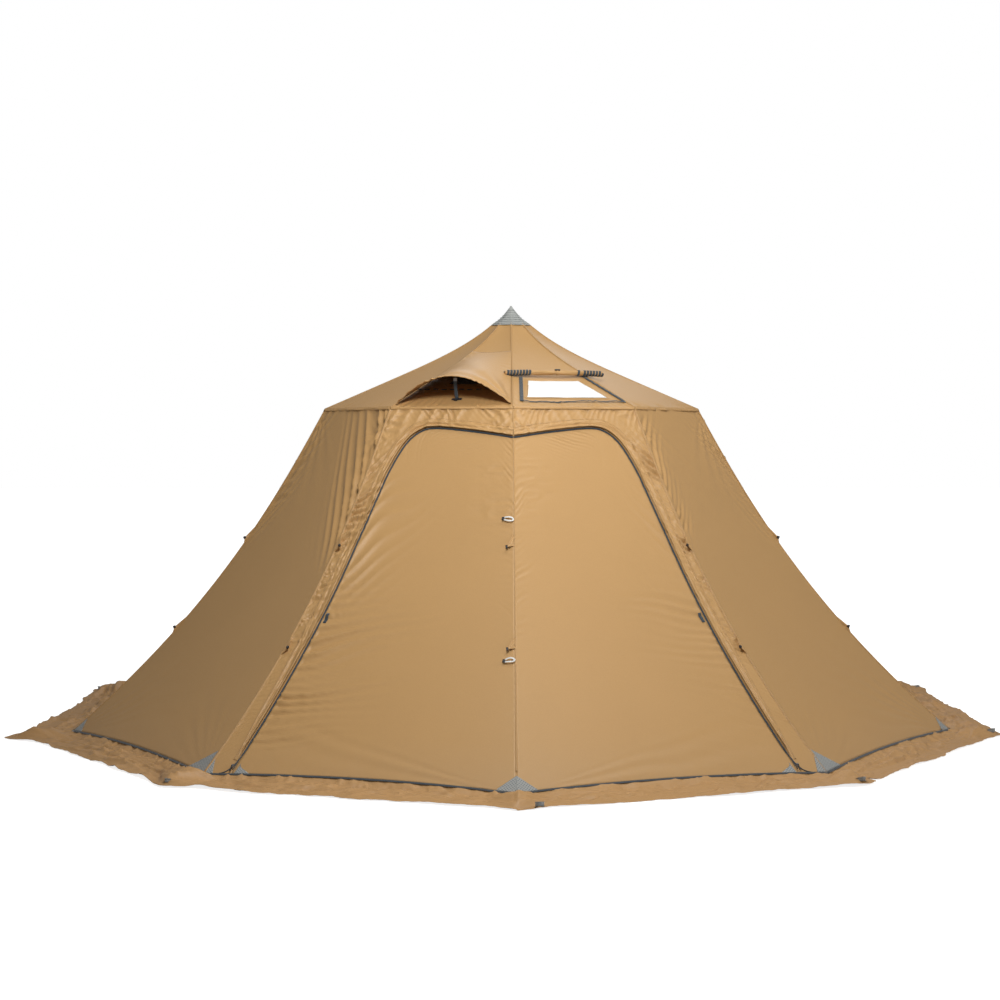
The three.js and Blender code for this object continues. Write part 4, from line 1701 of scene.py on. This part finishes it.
@dataclass
class Skirt(SubAssembly):
    """The cloth that falls from the binding and lies out over the ground."""

    columns: int = 1900
    rows: int = 40
    edge: float = SKIRT_RADIUS
    drop_share: float = 0.24
    hem: float = 0.02
    fold_height: float = 0.040
    fine_height: float = 0.018
    ripple_height: float = 0.012
    tent_height: float = 0.055
    curl_height: float = 0.016

    def build(self) -> None:
        """Makes the skirt."""
        a = np.linspace(0, 2 * math.pi, self.columns, endpoint=False)[None, :]
        t = steps_down(self.rows)
        k = np.floor(a / FORM.sector + 1e-9)
        local = a - (k + 0.5) * FORM.sector
        plan = math.cos(FORM.sector / 2) / np.cos(local)
        u = 0.5 + np.tan(local) / (2 * math.tan(FORM.sector / 2))
        foot = self.cloth.foot(u)
        inner = FORM.wall_radius(foot) * plan - 0.002
        corner = np.exp(-((np.minimum(u, 1 - u) * FORM.width(FORM.base) / 0.12) ** 2))
        arc = a * FORM.base
        ragged = 0.024 * crumple(arc * 1.3, arc * 0, 301, 3) + 0.006 * crumple(arc * 7, arc * 0, 302, 2)
        outer = self.edge * plan - 0.012 + ragged - 0.02 * (1 - corner)
        outer = np.minimum(outer, self.edge * plan + 0.012)
        tip = np.exp(-(((a - 8 * FORM.sector) * FORM.base / 0.14) ** 2))
        outer = outer + 0.085 * tip
        slit = np.exp(-(((a - 1.07 * FORM.sector) * FORM.base / 0.02) ** 2))
        outer = outer - 0.09 * slit
        radius = inner + (outer - inner) * t
        drop = np.clip(t / self.drop_share, 0, 1)
        height = (foot - 0.006) * (1 - drop) ** 1.4 + 0.004
        size = smooth(0.03, 0.35, t)
        folds = self.fold_height * crumple(arc * 1.9 + 0.7 * noise(arc, t * 2, 311), t * 1.5, 312, 3)
        small = self.fine_height * crumple(arc * 7.5 + 2 * t, t * 4.5, 313, 3)
        ripple = self.ripple_height * crumple(arc * 13.0, t * 2.5, 314,
                                              2) * np.exp(-(((t - 0.12) / 0.12) ** 2))
        tent = self.tent_height * corner * np.sin(math.pi * np.clip((t - 0.10) / 0.80, 0, 1)) ** 1.2
        lively = 0.55 + 0.75 * smooth(0.2, 0.95, np.abs(np.sin(a)))
        settle = 1 - 0.7 * smooth(0.6, 1.0, t)
        height = height + np.maximum(folds * size * lively * settle, -0.004)
        height = height + np.maximum(small * size * settle, -0.003) + tent + ripple
        curl = self.curl_height * smooth(0.75, 1.0, t) * np.maximum(crumple(arc * 2.6, arc * 0, 315, 2),
                                                                    0) * lively
        height = np.maximum(height + curl, 0.0025 + 0.002 * noise(arc * 20, t * 9, 316))
        shift = 0.012 * crumple(arc * 6, t * 3, 317, 2) * size
        x = (radius + shift) * np.sin(a)
        y = -(radius + shift) * np.cos(a)
        points = together(x, y, height)
        flat = together(arc, radius)
        verts = points.reshape(-1, 3)
        faces = grid_faces(self.rows, self.columns, wrap=True)
        obj = link_mesh("skirt_cloth", verts, faces, flat.reshape(-1, 2))
        thicken(obj, 0.0012, -1)
        self.fitter.on_ground(obj, Palette.SKIRT)
        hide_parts("snow_skirt")


# ---- roof


class RoofCloth:
    """The cloth surface of the roof gores."""

    def lift(self, k: int, u: Array, r: Array) -> Array:
        """Lift of gore k's cloth off its plain surface.

        Args:
            k: Panel, or seam, number.
            u: Share across the panel, from seam k.
            r: Radius of the seams.

        Returns:
            Lift at each point.
        """
        u, r = np.broadcast_arrays(np.asarray(u, float), np.asarray(r, float))
        width = FORM.width(r)
        left, right = u * width, (1 - u) * width
        down = FORM.eave - r
        total = -0.010 * 4 * u * (1 - u) * np.sin(math.pi * np.clip(r / FORM.eave, 0, 1)) ** 0.8
        rim = smooth(0.0, 0.02, left) * smooth(0.0, 0.02, right)
        seed = 400 + 17 * k
        for side, away in enumerate((left, right)):
            total = total + rim * Pucker(0.06, 0.0014, 0.06, 0.9, 0.0, 1.4, seed + side).height(down, away)
        gathers = Pucker(0.045, 0.0065, 0.075, 0.4, -0.1, 2.0, seed + 3, fade=0.05)
        total = total + rim * gathers.height(left, np.clip(down, 0, None))
        return total + rim * 0.0018 * (noise(left * 3, r * 3, seed + 5) - 0.5)

    def point(self, k: int, u: Array, r: Array, lift: Array = 0.0) -> Array:
        """Point on the roof cloth of gore k."""
        return FORM.roof(k, u, r, self.lift(k, u, r) + lift)

    def at(self, k: int, across: Array, outward: Array, lift: Array = 0.0) -> Array:
        """The same from a gore's across and outward distances."""
        r = np.asarray(outward, float) / math.cos(FORM.sector / 2)
        return self.point(k, np.asarray(across) / FORM.width(r) + 0.5, r, lift)

    def normal(self, k: int, across: Array, outward: Array) -> Array:
        """Outward direction of gore k."""
        n = self.at(k, across, outward, 1.0) - self.at(k, across, outward, 0.0)
        return n / np.linalg.norm(n, axis=-1, keepdims=True)


ROOF = RoofCloth()
JACK_HOLE = ((-0.268, 1.112), (0.268, 1.112), (0.171, 0.858), (-0.171, 0.858))
VENT_HOLE = ((-0.150, 0.915), (0.150, 0.915), (0.100, 0.690), (-0.100, 0.690))


def outline(corners: Section, steps: int) -> Array:
    """Closed outline with the same number of steps along each side.

    Args:
        corners: Corners in order.
        steps: Steps along each side.

    Returns:
        Points, one row each.
    """
    c = np.array(corners, float)
    t = np.linspace(0, 1, steps, endpoint=False)[:, None]
    return np.vstack([c[i] * (1 - t) + c[(i + 1) % len(c)] * t for i in range(len(c))])


@dataclass
class Roof(SubAssembly):
    """Ten gores, their ridge fells, the lip over the eave and the cap."""

    cap_edge: float = 0.128
    lip_out: float = 0.007
    lip_drop: float = 0.013
    cap_rows: int = 26
    cap_columns: int = 120
    cap_cloth_edge: float = 0.145

    def build(self) -> None:
        """Makes every piece of the roof."""
        for k in range(FORM.sides):
            self.gore(k)
            self.ridge(k)
        self.lip()
        self.cap()

    def gore(self, k: int) -> None:
        """One gore, with its opening if it has one.

        Args:
            k: Gore number.
        """
        hole = {0: JACK_HOLE, FORM.sides - 1: VENT_HOLE}.get(k)
        cos = math.cos(FORM.sector / 2)
        if hole is None:
            u = steps_along(44)
            r = np.linspace(self.cap_edge, FORM.eave, 60)[:, None]
            flat = together((u - 0.5) * FORM.width(r), r * 1.1)
            obj = grid_piece(f"roof_cloth_{k}", ROOF.point(k, u, r), flat)
        else:
            half = math.tan(FORM.sector / 2)
            out, top = FORM.eave * cos, self.cap_edge * cos
            rim = outline([(-out * half, out), (out * half, out), (top * half, top), (-top * half, top)],
                          60)
            inner = outline(hole, 60)
            t = np.linspace(0, 1, 24)[:, None, None]
            plan = rim[None] * (1 - t) + inner[None] * t
            flat = plan * np.array([1.0, 1.1])
            points = ROOF.at(k, plan[..., 0], plan[..., 1])
            faces = grid_faces(*plan.shape[:2], wrap=True)
            obj = link_mesh(f"roof_cloth_{k}", points.reshape(-1, 3), faces, flat.reshape(-1, 2))
        thicken(obj, CLOTH_THICKNESS, -1)
        self.fitter.on_roof(obj, Palette.TAN)
        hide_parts(f"roof_gore_{k}")

    def hole_area(self, hole: Section) -> float:
        """Area of a four-cornered opening.

        Args:
            hole: Corners of the opening.

        Returns:
            The area.
        """
        c = np.array(hole)
        n = np.roll(c, -1, axis=0)
        return float(abs((c[:, 0] * n[:, 1] - c[:, 1] * n[:, 0]).sum()) / 2) * 1.1

    def ridge(self, k: int) -> None:
        """The fell down one ridge and its stitches.

        Args:
            k: Ridge number.
        """
        r = np.linspace(self.cap_edge, FORM.eave, 60)
        angle = k * FORM.sector
        out = np.array([math.sin(angle), -math.cos(angle), 0.0])
        slope = np.gradient(FORM.roof_height(r), r)
        up = UP - slope[:, None] * out
        up /= np.linalg.norm(up, axis=1, keepdims=True)
        path = r[:, None] * out + FORM.roof_height(r)[:, None] * UP + up * 0.0008
        w, bend = 0.007, 0.0009
        section = [(-w, -bend - 0.001), (0, 0.0), (w, -bend - 0.001), (w, -bend + 0.0008), (0, 0.0018),
                   (-w, -bend + 0.0008)]
        self.fitter.on_roof(ribbon(f"ridge_fell_{k}", path, up, section), Palette.TAN)
        thread = ribbon(f"ridge_stitches_{k}", path, up, tape_section(0.0012, 0.0008, 0.0016))
        self.fitter.on_roof(thread, Palette.THREAD)

    def lip(self) -> None:
        """The roof's turned-down edge over the wall, with its piping."""
        parts, piping = [], []
        for k in range(FORM.sides):
            u = np.linspace(0, 1, 60)
            edge = ROOF.point(k, u, np.full(60, FORM.eave))
            _, out = FORM.axes(k)
            wave = 0.007 * crumple(u * 9, u * 0, 450 + k, 3) * np.sin(math.pi * u) ** 0.3
            rows = []
            for t in np.linspace(0, 1, 6):
                push = self.lip_out * math.sin(t * math.pi / 2)
                drop = self.lip_drop * t**1.6
                rows.append(edge + out * (push + wave * t)[:, None] - np.array([0, 0, drop]))
            points = np.stack(rows)
            flat = together(u[None, :] * 0.81, np.linspace(0, 0.03, 6)[:, None])
            parts.append(grid_part(points, flat))
            piping.append(ribbon_part(points[-1], out, round_section(0.0022, 8)))
        self.fitter.on_roof(thicken(joined("eave_lip", parts), 0.0010), Palette.TAN)
        self.fitter.on_roof(joined("eave_piping", piping), Palette.TAN)

    def cap(self) -> None:
        """The reinforced cap over the mast head, ten-sided at its edge and round at its tip."""
        angles = np.linspace(0, 2 * math.pi, self.cap_columns, endpoint=False)
        local = (angles % FORM.sector) - FORM.sector / 2
        plan = math.cos(FORM.sector / 2) / np.cos(local)
        t = steps_down(self.cap_rows)
        r = self.cap_cloth_edge * (1 - t) ** 1.15 + 0.004 * t
        blend = smooth(0.3, 1.0, t)
        radius = r * (plan[None, :] * (1 - blend) + blend)
        hollow = 0.010 * np.sin(math.pi * np.clip(r / self.cap_edge, 0, 1))
        z = FORM.roof_height(r) + 0.0035 - hollow + 0 * radius
        z = np.minimum(z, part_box("apex_cap")[1].z - 0.001) + 0.0015 * np.sin(60 * t)
        points = np.stack([radius * np.sin(angles), -radius * np.cos(angles), z], -1)
        flat = together(angles * self.cap_cloth_edge, t * 0.16)
        obj = link_mesh("cap_cloth", points.reshape(-1, 3),
                        grid_faces(self.cap_rows, self.cap_columns, wrap=True),
                        flat.reshape(-1, 2))
        thicken(obj, 0.0016, -1)
        self.fitter.on_roof(obj, Palette.CAP)
        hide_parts("apex_cap")
        rows = []
        for row in range(2, self.cap_rows - 3, 3):
            ring = np.vstack([points[row], points[row][:1]])
            rows.append(ribbon_part(ring, UP, tape_section(0.0024, 0.0014, 0.0004)))
        self.fitter.on_roof(joined("cap_stitches", rows), Palette.DARK)
        tip = np.array([[0, 0, FORM.apex_z - 0.016], [0, 0, FORM.apex_z - 0.008],
                        [0, 0, FORM.apex_z - 0.001]])
        knob = ribbon("cap_tip", tip, np.array([0, 1.0, 0]), round_section(0.0065, 16))
        self.fitter.on_roof(knob, Palette.GREY_WEB)


@dataclass
class Vent(SubAssembly):
    """The hooded vent: hood, hem, netting, fastening tape and prop."""

    k: int = FORM.sides - 1
    seam_out: float = 0.431
    corner_out: float = 1.216
    mouth_out: float = 1.195
    rise: float = 0.172
    prop_out: float = 1.140
    joint: str = "vent_prop_fold"

    def build(self) -> None:
        """Makes every piece of the vent."""
        self.hood()
        self.netting()
        self.fastening()
        self.prop()

    def close(self, obj: Piece, finish: ClothFinish) -> Piece:
        """Mounts a piece of the hood on the roof.

        Args:
            obj: The piece.
            finish: What it is made of.

        Returns:
            The piece.
        """
        self.fitter.on_roof(obj, finish)
        normal = ROOF.normal(self.k, np.array(0.0), np.array(0.9))
        anchor = ROOF.at(self.k, np.array(0.0), np.array(0.9), 0.004)
        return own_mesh(obj)

    def hood_point(self, v: Array, t: Array, lift: Array = 0.0) -> Array:
        """Point on the hood: v across from -1 to 1, t from its upper seam to its loose edge.

        Args:
            v: Place across, from -1 to 1.
            t: Share from the upper seam to the loose edge.
            lift: Height off the cloth.

        Returns:
            Points, xyz last.
        """
        v, t = np.broadcast_arrays(v, t)
        arch = 1 - v**2
        out = self.seam_out * (1 - t) + (self.corner_out + (self.mouth_out - self.corner_out) * arch) * t
        half = 0.97 * out * math.tan(FORM.sector / 2)
        height = 0.006 + self.rise * arch * t**0.9
        right = np.hypot((1 - v) * half, (1 - t) * 0.8 + 0.02)
        turn = np.arctan2((1 - t) * 0.8 + 0.02, (1 - v) * half + 0.01)
        fan = 0.013 * np.sin(turn * 12 + 1.0) * np.exp(-right * 2.6) * smooth(0.02, 0.2, right)
        left = np.hypot((1 + v) * half, (1 - t) * 0.8 + 0.02)
        turn2 = np.arctan2((1 - t) * 0.8 + 0.02, (1 + v) * half + 0.01)
        fan = fan + 0.008 * np.sin(turn2 * 11) * np.exp(-left * 3.2) * smooth(0.02, 0.2, left)
        fan = fan * smooth(0, 0.25, arch)
        sag = -0.012 * np.sin(math.pi * t) * arch
        return ROOF.at(self.k, v * half, out, height + fan + sag + lift)

    def hood(self) -> None:
        """The hood and the hem along its loose edge."""
        v, t = np.linspace(-1, 1, 110)[None, :], steps_down(60)
        points = self.hood_point(v, t)
        along = np.linalg.norm(np.diff(points, axis=1), axis=-1).sum(1)
        flat = together(v * along[:, None] / 2, t * 0.83)
        obj = thicken(grid_piece("vent_hood_cloth", points, flat), CLOTH_THICKNESS, -1)
        self.close(obj, Palette.TAN)
        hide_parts("vent_hood")
        self.fitter.sheet(obj, flat, "stretched", ["roof_cloth_9"])
        path = self.hood_point(np.linspace(-0.995, 0.995, 110), np.full(110, 0.994), 0.0008)
        up = ROOF.normal(self.k, np.zeros(110), np.full(110, 1.1))
        hem = ribbon("vent_hood_hem", path, up, tape_section(0.014, 0.0028, -0.0012))
        self.close(hem, Palette.TAN)
        path = self.hood_point(np.linspace(-0.99, 0.99, 110), np.full(110, 0.985), 0.0026)
        self.close(ribbon("vent_hood_stitches", path, up, tape_section(0.0012, 0.0008)), Palette.THREAD)

    def netting(self) -> None:
        """Netting over the opening, with a hem round it."""
        c = np.array(VENT_HOLE)
        s, t = np.linspace(0, 1, 30)[None, :, None], np.linspace(0, 1, 22)[:, None, None]
        plan = (c[0] * (1 - s) + c[1] * s) * (1 - t) + (c[3] * (1 - s) + c[2] * s) * t
        lift = 0.0012 + 0.002 * noise(plan[..., 0] * 20, plan[..., 1] * 20, 501)
        obj = grid_piece("vent_netting", ROOF.at(self.k, plan[..., 0], plan[..., 1], lift), plan)
        thicken(obj, 0.0008)
        self.fitter.on_roof(obj, Palette.NETTING)
        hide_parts("vent_mesh")
        self.fitter.sheet(obj, plan, "stretched", ["roof_cloth_9"])
        ring = outline([tuple(p) for p in c], 24)
        ring = np.vstack([ring, ring[:1]])
        path = ROOF.at(self.k, ring[:, 0], ring[:, 1], 0.0022)
        up = ROOF.normal(self.k, ring[:, 0], ring[:, 1])
        self.fitter.on_roof(ribbon("vent_frame_hem", path, up, tape_section(0.022, 0.0018)), Palette.TAN)

    def fastening(self) -> None:
        """Short lengths of hook tape in a row below the opening."""
        parts = []
        for start in np.arange(-0.33, 0.30, 0.058):
            across = np.linspace(start, start + 0.034, 5)
            out = 0.985 + 0.004 * np.sin(across * 40)
            path = ROOF.at(self.k, across, out, 0.0014)
            parts.append(ribbon_part(path, ROOF.normal(self.k, across, out), tape_section(0.014, 0.002)))
        self.fitter.on_roof(joined("vent_hook_tape", parts), Palette.DARK)

    def prop(self) -> None:
        """The stiffened strut that holds the hood open, and the foot that it stands in."""
        low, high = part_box("vent_prop")
        foot = ROOF.at(self.k, np.array(0.0), np.array(self.prop_out), 0.006)
        normal = ROOF.normal(self.k, np.array(0.0), np.array(self.prop_out))
        top = np.array([(low.x + high.x) / 2, (low.y + high.y) / 2, high.z - 0.003])
        line = steps_down(24)
        _, out = FORM.axes(self.k)
        path = foot * (1 - line) + top * line + out * 0.006 * np.sin(math.pi * line)
        strut = ribbon("vent_prop_strut", path, -out, tape_section(0.021, 0.0042, -0.002))
        self.fitter.palette.paint(strut, Palette.DARK)
        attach(strut, "vent_prop")
        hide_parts("vent_prop")
        end = top + np.linspace(-0.020, 0.002, 6)[:, None] * UP
        tip = ribbon("vent_prop_tip", end, -out, tape_section(0.023, 0.0065, -0.003))
        self.fitter.palette.paint(tip, Palette.GREY_WEB)
        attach(tip, "vent_prop")
        base = ROOF.at(self.k, np.linspace(-0.032, 0.032, 12), np.full(12, self.prop_out), 0.0035)
        pad = [ribbon_part(base, normal, tape_section(0.026, 0.003))]
        stem = ROOF.at(self.k, np.zeros(8), np.linspace(1.128, 1.168, 8), 0.006)
        pad.append(ribbon_part(stem, normal, tape_section(0.024, 0.0035)))
        foot_piece = joined("vent_prop_foot", pad)
        self.fitter.on_roof(foot_piece, Palette.PLASTIC)
        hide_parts("vent_prop_pad")


@dataclass
class StoveJack(SubAssembly):
    """The heat-proof panel for a flue, its hook tape and its cover rolled up above it."""

    k: int = 0
    roll_radius: float = 0.0165
    roll_length: float = 0.63
    tape_pitch: float = 0.021

    def build(self) -> None:
        """Makes every piece of the stove jack."""
        self.panel()
        self.tapes()
        self.roll()

    def panel(self) -> None:
        """The pale panel and the border sewn round it."""
        c = np.array(JACK_HOLE)
        s, t = np.linspace(0, 1, 44)[None, :, None], np.linspace(0, 1, 26)[:, None, None]
        plan = (c[0] * (1 - s) + c[1] * s) * (1 - t) + (c[3] * (1 - s) + c[2] * s) * t
        lift = 0.0022 + 0.003 * noise(plan[..., 0] * 9, plan[..., 1] * 7, 601)
        obj = grid_piece("jack_panel_cloth", ROOF.at(self.k, plan[..., 0], plan[..., 1], lift), plan)
        thicken(obj, 0.0016, -1)
        self.fitter.on_roof(obj, Palette.WHITE)
        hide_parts("stove_jack_panel")
        self.fitter.sheet(obj, plan, "stretched", ["roof_cloth_0"])
        self.strip("jack_border", [(-0.277, 1.120), (-0.177, 0.852)], 0.022, Palette.TAN, 0.0012)
        self.strip("jack_border_foot", [(-0.280, 1.122), (0.280, 1.122)], 0.014, Palette.TAN, 0.0010)
        self.strip("jack_border_stitches", [(-0.272, 1.122), (-0.172, 0.852)], 0.0014, Palette.THREAD,
                   0.0034)

    def strip(self, name: str, line: Section, width: float, finish: ClothFinish,
              lift: float, wave: float = 0.0, seed: int = 1) -> None:
        """A tape sewn to the gore along a line.

        Args:
            name: The piece's name.
            line: Corners of the line.
            width: Width of the tape.
            finish: What it is made of.
            lift: Height off the cloth.
            wave: How far it wanders.
            seed: Picks the pattern.
        """
        p = np.array(line, float)
        t = np.linspace(0, len(p) - 1, 60)
        i = np.minimum(t.astype(int), len(p) - 2)
        plan = p[i] + (p[i + 1] - p[i]) * (t - i)[:, None]
        plan[:, 1] += wave * crumple(plan[:, 0] * 7, t * 0, seed, 2)
        height = lift + np.abs(wave) * noise(plan[:, 0] * 16, t * 0, seed + 1)
        path = ROOF.at(self.k, plan[:, 0], plan[:, 1], height)
        up = ROOF.normal(self.k, plan[:, 0], plan[:, 1])
        self.fitter.on_roof(ribbon(name, path, up, tape_section(width, 0.002)), finish)

    def tapes(self) -> None:
        """Hook tape down both sides and along the foot."""
        self.strip("jack_tape_left", [(-0.206, 0.811), (-0.326, 1.175)], 0.024, Palette.DARK, 0.0022, 0.002,
                   611)
        self.strip("jack_tape_right", [(0.222, 0.772), (0.366, 1.174)], 0.020, Palette.DARK, 0.0022, 0.002,
                   613)
        self.strip("jack_tape_foot", [(-0.326, 1.185), (0.366, 1.183)], 0.012, Palette.DARK, 0.0026, 0.010,
                   615)

    def roll(self) -> None:
        """The cover, rolled and held by a strap and toggle."""
        low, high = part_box("stove_jack_cover")
        centre = np.array((low + high) / 2)
        across, _ = FORM.axes(self.k)
        s = np.linspace(-0.565, 0.5, 160)
        normal = ROOF.normal(self.k, np.array(0.0), np.array(0.804))
        uphill = np.cross(normal, across)
        a = np.linspace(0, 2 * math.pi, 28, endpoint=False)
        waist = 1 - 0.30 * np.exp(-((s / 0.035) ** 2))
        swell = 0.92 + 0.10 * noise(s * 14, s * 0, 621)
        grid = []
        for i, si in enumerate(s):
            fold = 1 + 0.07 * np.sin(3 * a + 14 * si) + 0.05 * np.cos(7 * a - 30 * si)
            radius = self.roll_radius * waist[i] * swell[i] * fold
            bow = -0.006 * (2 * si) ** 2 + 0.002
            grid.append(centre + across * si * self.roll_length + normal * bow + radius[:, None]
                        * (np.cos(a)[:, None] * normal + np.sin(a)[:, None] * uphill))
        points = np.stack(grid)
        faces = [tuple(f) for f in grid_faces(len(s), len(a), wrap=True)]
        faces.append(tuple(range(len(a) - 1, -1, -1)))
        faces.append(tuple(range((len(s) - 1) * len(a), len(s) * len(a))))
        flat = together(s[:, None] * self.roll_length, a[None, :] * self.roll_radius)
        obj = link_mesh("jack_cover_roll", points.reshape(-1, 3), faces, flat.reshape(-1, 2))
        self.fitter.on_roof(obj, Palette.TAN)
        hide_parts("stove_jack_cover")
        turns = []
        for start, end in ((-0.56, -0.335), (-0.335, -0.30), (0.215, 0.25), (0.275, 0.495)):
            t = np.linspace(start, end, 120)
            phase = t * self.roll_length / self.tape_pitch * 2 * math.pi
            ring = np.cos(phase)[:, None] * normal + np.sin(phase)[:, None] * uphill
            bow = (-0.006 * (2 * t) ** 2 + 0.002)[:, None] * normal
            path = centre + across * (t * self.roll_length)[:, None] + bow + ring * self.roll_radius * 1.04
            turns.append(ribbon_part(path, ring, tape_section(0.0150, 0.0024)))
        self.fitter.on_roof(joined("jack_cover_tape", turns), Palette.DARK)
        t = np.linspace(0, 2 * math.pi, 40)
        ring = np.cos(t)[:, None] * normal + np.sin(t)[:, None] * uphill
        strap = centre + ring * (self.roll_radius * 0.86)
        self.fitter.on_roof(ribbon("jack_cover_strap", strap, ring, tape_section(0.012, 0.0022)),
                            Palette.TAN)
        toggle = centre + normal * self.roll_radius * 1.1 + uphill * 0.004
        toggle = toggle + across * np.linspace(-0.018, 0.018, 8)[:, None]
        self.fitter.on_roof(ribbon("jack_cover_toggle", toggle, normal, round_section(0.0060, 10)),
                            Palette.PLASTIC)


# ---- frame finishes


@dataclass
class FrameFinishes(SubAssembly):
    """Better finishes on the parts that stay as they come from the frame."""

    def dress(self) -> None:
        """Gives every shown frame part its finish."""
        rules: list[tuple[str, HardFinish]] = [
            ("mast_foot", Palette.RUBBER), ("mast_clamp", Palette.PLASTIC), ("mast_crown", Palette.PLASTIC),
            ("mast_", Palette.TUBE), ("clamp_lever", Palette.PLASTIC), ("eave_corner", Palette.PLASTIC),
            ("eave_tube", Palette.TUBE), ("zip_slider", Palette.TUBE), ("zip_pull", Palette.PLASTIC),
        ]
        for name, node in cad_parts.items():
            finish = next((f for prefix, f in rules if name.startswith(prefix)), None)
            if finish is not None and not node.hide_render:
                self.fitter.palette.paint(node, finish)
                LOG.info("%s: %s", name, finish.name)


# ---- studio


@dataclass
class Studio:
    """Camera, lights, floor and surroundings."""

    lens: float = 63.1
    camera_at: tuple[float, float, float] = (-0.127, -12.140, 1.871)
    pitch: float = -1.849
    yaw: float = -0.6
    shift_x: float = -0.011
    sky: float = 0.17
    floor_half: float = 60.0
    tint: tuple[float, float, float] = (1.0, 0.992, 0.965)
    lights: tuple[tuple[str, tuple[float, float, float], float, float], ...] = (
        ("key", (-0.25, -4.5, 4.35), 1.1, 125), ("fill", (8.5, -4.6, 4.4), 3.0, 190),
        ("top", (1.0, -2.0, 6.4), 2.4, 100), ("back", (1.0, 9.0, 8.0), 5.0, 120),
    )

    def camera(self) -> None:
        """The camera, level with the upper wall and far enough back to see the whole skirt."""
        data = bpy.data.cameras.new("camera")
        data.lens, data.sensor_width, data.shift_x = self.lens, 36.0, self.shift_x
        data.clip_end = 200.0
        obj = bpy.data.objects.new("camera", data)
        obj.location = self.camera_at
        obj.rotation_euler = (math.radians(90 + self.pitch), 0, math.radians(self.yaw))
        bpy.context.scene.collection.objects.link(obj)
        bpy.context.scene.camera = obj

    def area(self, name: str, at: tuple[float, float, float], size: float, power: float) -> None:
        """A soft square light aimed at the tent.

        Args:
            name: The piece's name.
            at: Its place.
            size: Its side.
            power: Its power in watts.
        """
        data = bpy.data.lights.new(name, "AREA")
        data.size, data.energy = size, power
        data.color = self.tint
        obj = bpy.data.objects.new(name, data)
        obj.location = at
        obj.rotation_euler = (Vector((0, 0, 1.0)) - Vector(at)).to_track_quat("-Z", "Y").to_euler()
        obj.visible_camera = False
        bpy.context.scene.collection.objects.link(obj)

    def light(self) -> None:
        """Lights, pale floor and white surroundings."""
        for light in self.lights:
            self.area(*light)
        self.surroundings()
        self.floor()
        bpy.context.scene.view_settings.view_transform = "Standard"

    def surroundings(self) -> None:
        """White to the camera, dim to the tent."""
        world = bpy.data.worlds.new("surroundings")
        world.use_nodes = True
        tree = world.node_tree
        back = tree.nodes["Background"]
        path = tree.nodes.new("ShaderNodeLightPath")
        back.inputs["Color"].default_value = (1, 1, 1, 1)
        strength = math_node(tree, "MULTIPLY_ADD", path.outputs["Is Camera Ray"], 1.0 - self.sky, self.sky)
        tree.links.new(strength, back.inputs["Strength"])
        bpy.context.scene.world = world

    def floor(self) -> None:
        """A pale floor that glows to the camera, so that it meets the surroundings without a line."""
        e = self.floor_half
        floor = link_mesh("floor", np.array([(-e, -e, 0), (e, -e, 0), (e, e, 0), (-e, e, 0)]),
                          [(0, 1, 2, 3)])
        mat, tree, shader = new_material("floor_paper")
        shader.inputs["Base Color"].default_value = (0.86, 0.86, 0.86, 1)
        shader.inputs["Roughness"].default_value = 0.9
        shader.inputs["Emission Color"].default_value = (1, 1, 1, 1)
        seen = tree.nodes.new("ShaderNodeLightPath")
        place = tree.nodes.new("ShaderNodeTexCoord")
        away = add_node(tree, "ShaderNodeVectorMath", {0: place.outputs["Object"]}, operation="LENGTH")
        far = add_node(tree, "ShaderNodeMapRange",
                       {"Value": away.outputs["Value"], "From Min": 3.0, "From Max": 6.0,
                                                    "To Min": 0.80, "To Max": 1.05})
        glow = math_node(tree, "MULTIPLY", seen.outputs["Is Camera Ray"], far.outputs[0])
        tree.links.new(glow, shader.inputs["Emission Strength"])
        floor.data.materials.append(mat)


def main() -> None:
    """Builds the studio, then the tent from the walls up."""
    logging.basicConfig(level=logging.INFO, format="%(message)s")
    studio = Studio()
    studio.camera()
    fitter = Fitter(Palette(ShaderKit()), WallCloth(DoorEdge()))
    walls = Walls(fitter)
    walls.build()
    for side in Side:
        Door(fitter, side).build()
    FrontSeam(fitter, walls).build()
    Corners(fitter, walls).build()
    Skirt(fitter).build()
    Roof(fitter).build()
    Vent(fitter).build()
    StoveJack(fitter).build()
    FrameFinishes(fitter).dress()
    studio.light()
    bpy.context.view_layer.update()


if __name__ == "__main__":
    main()
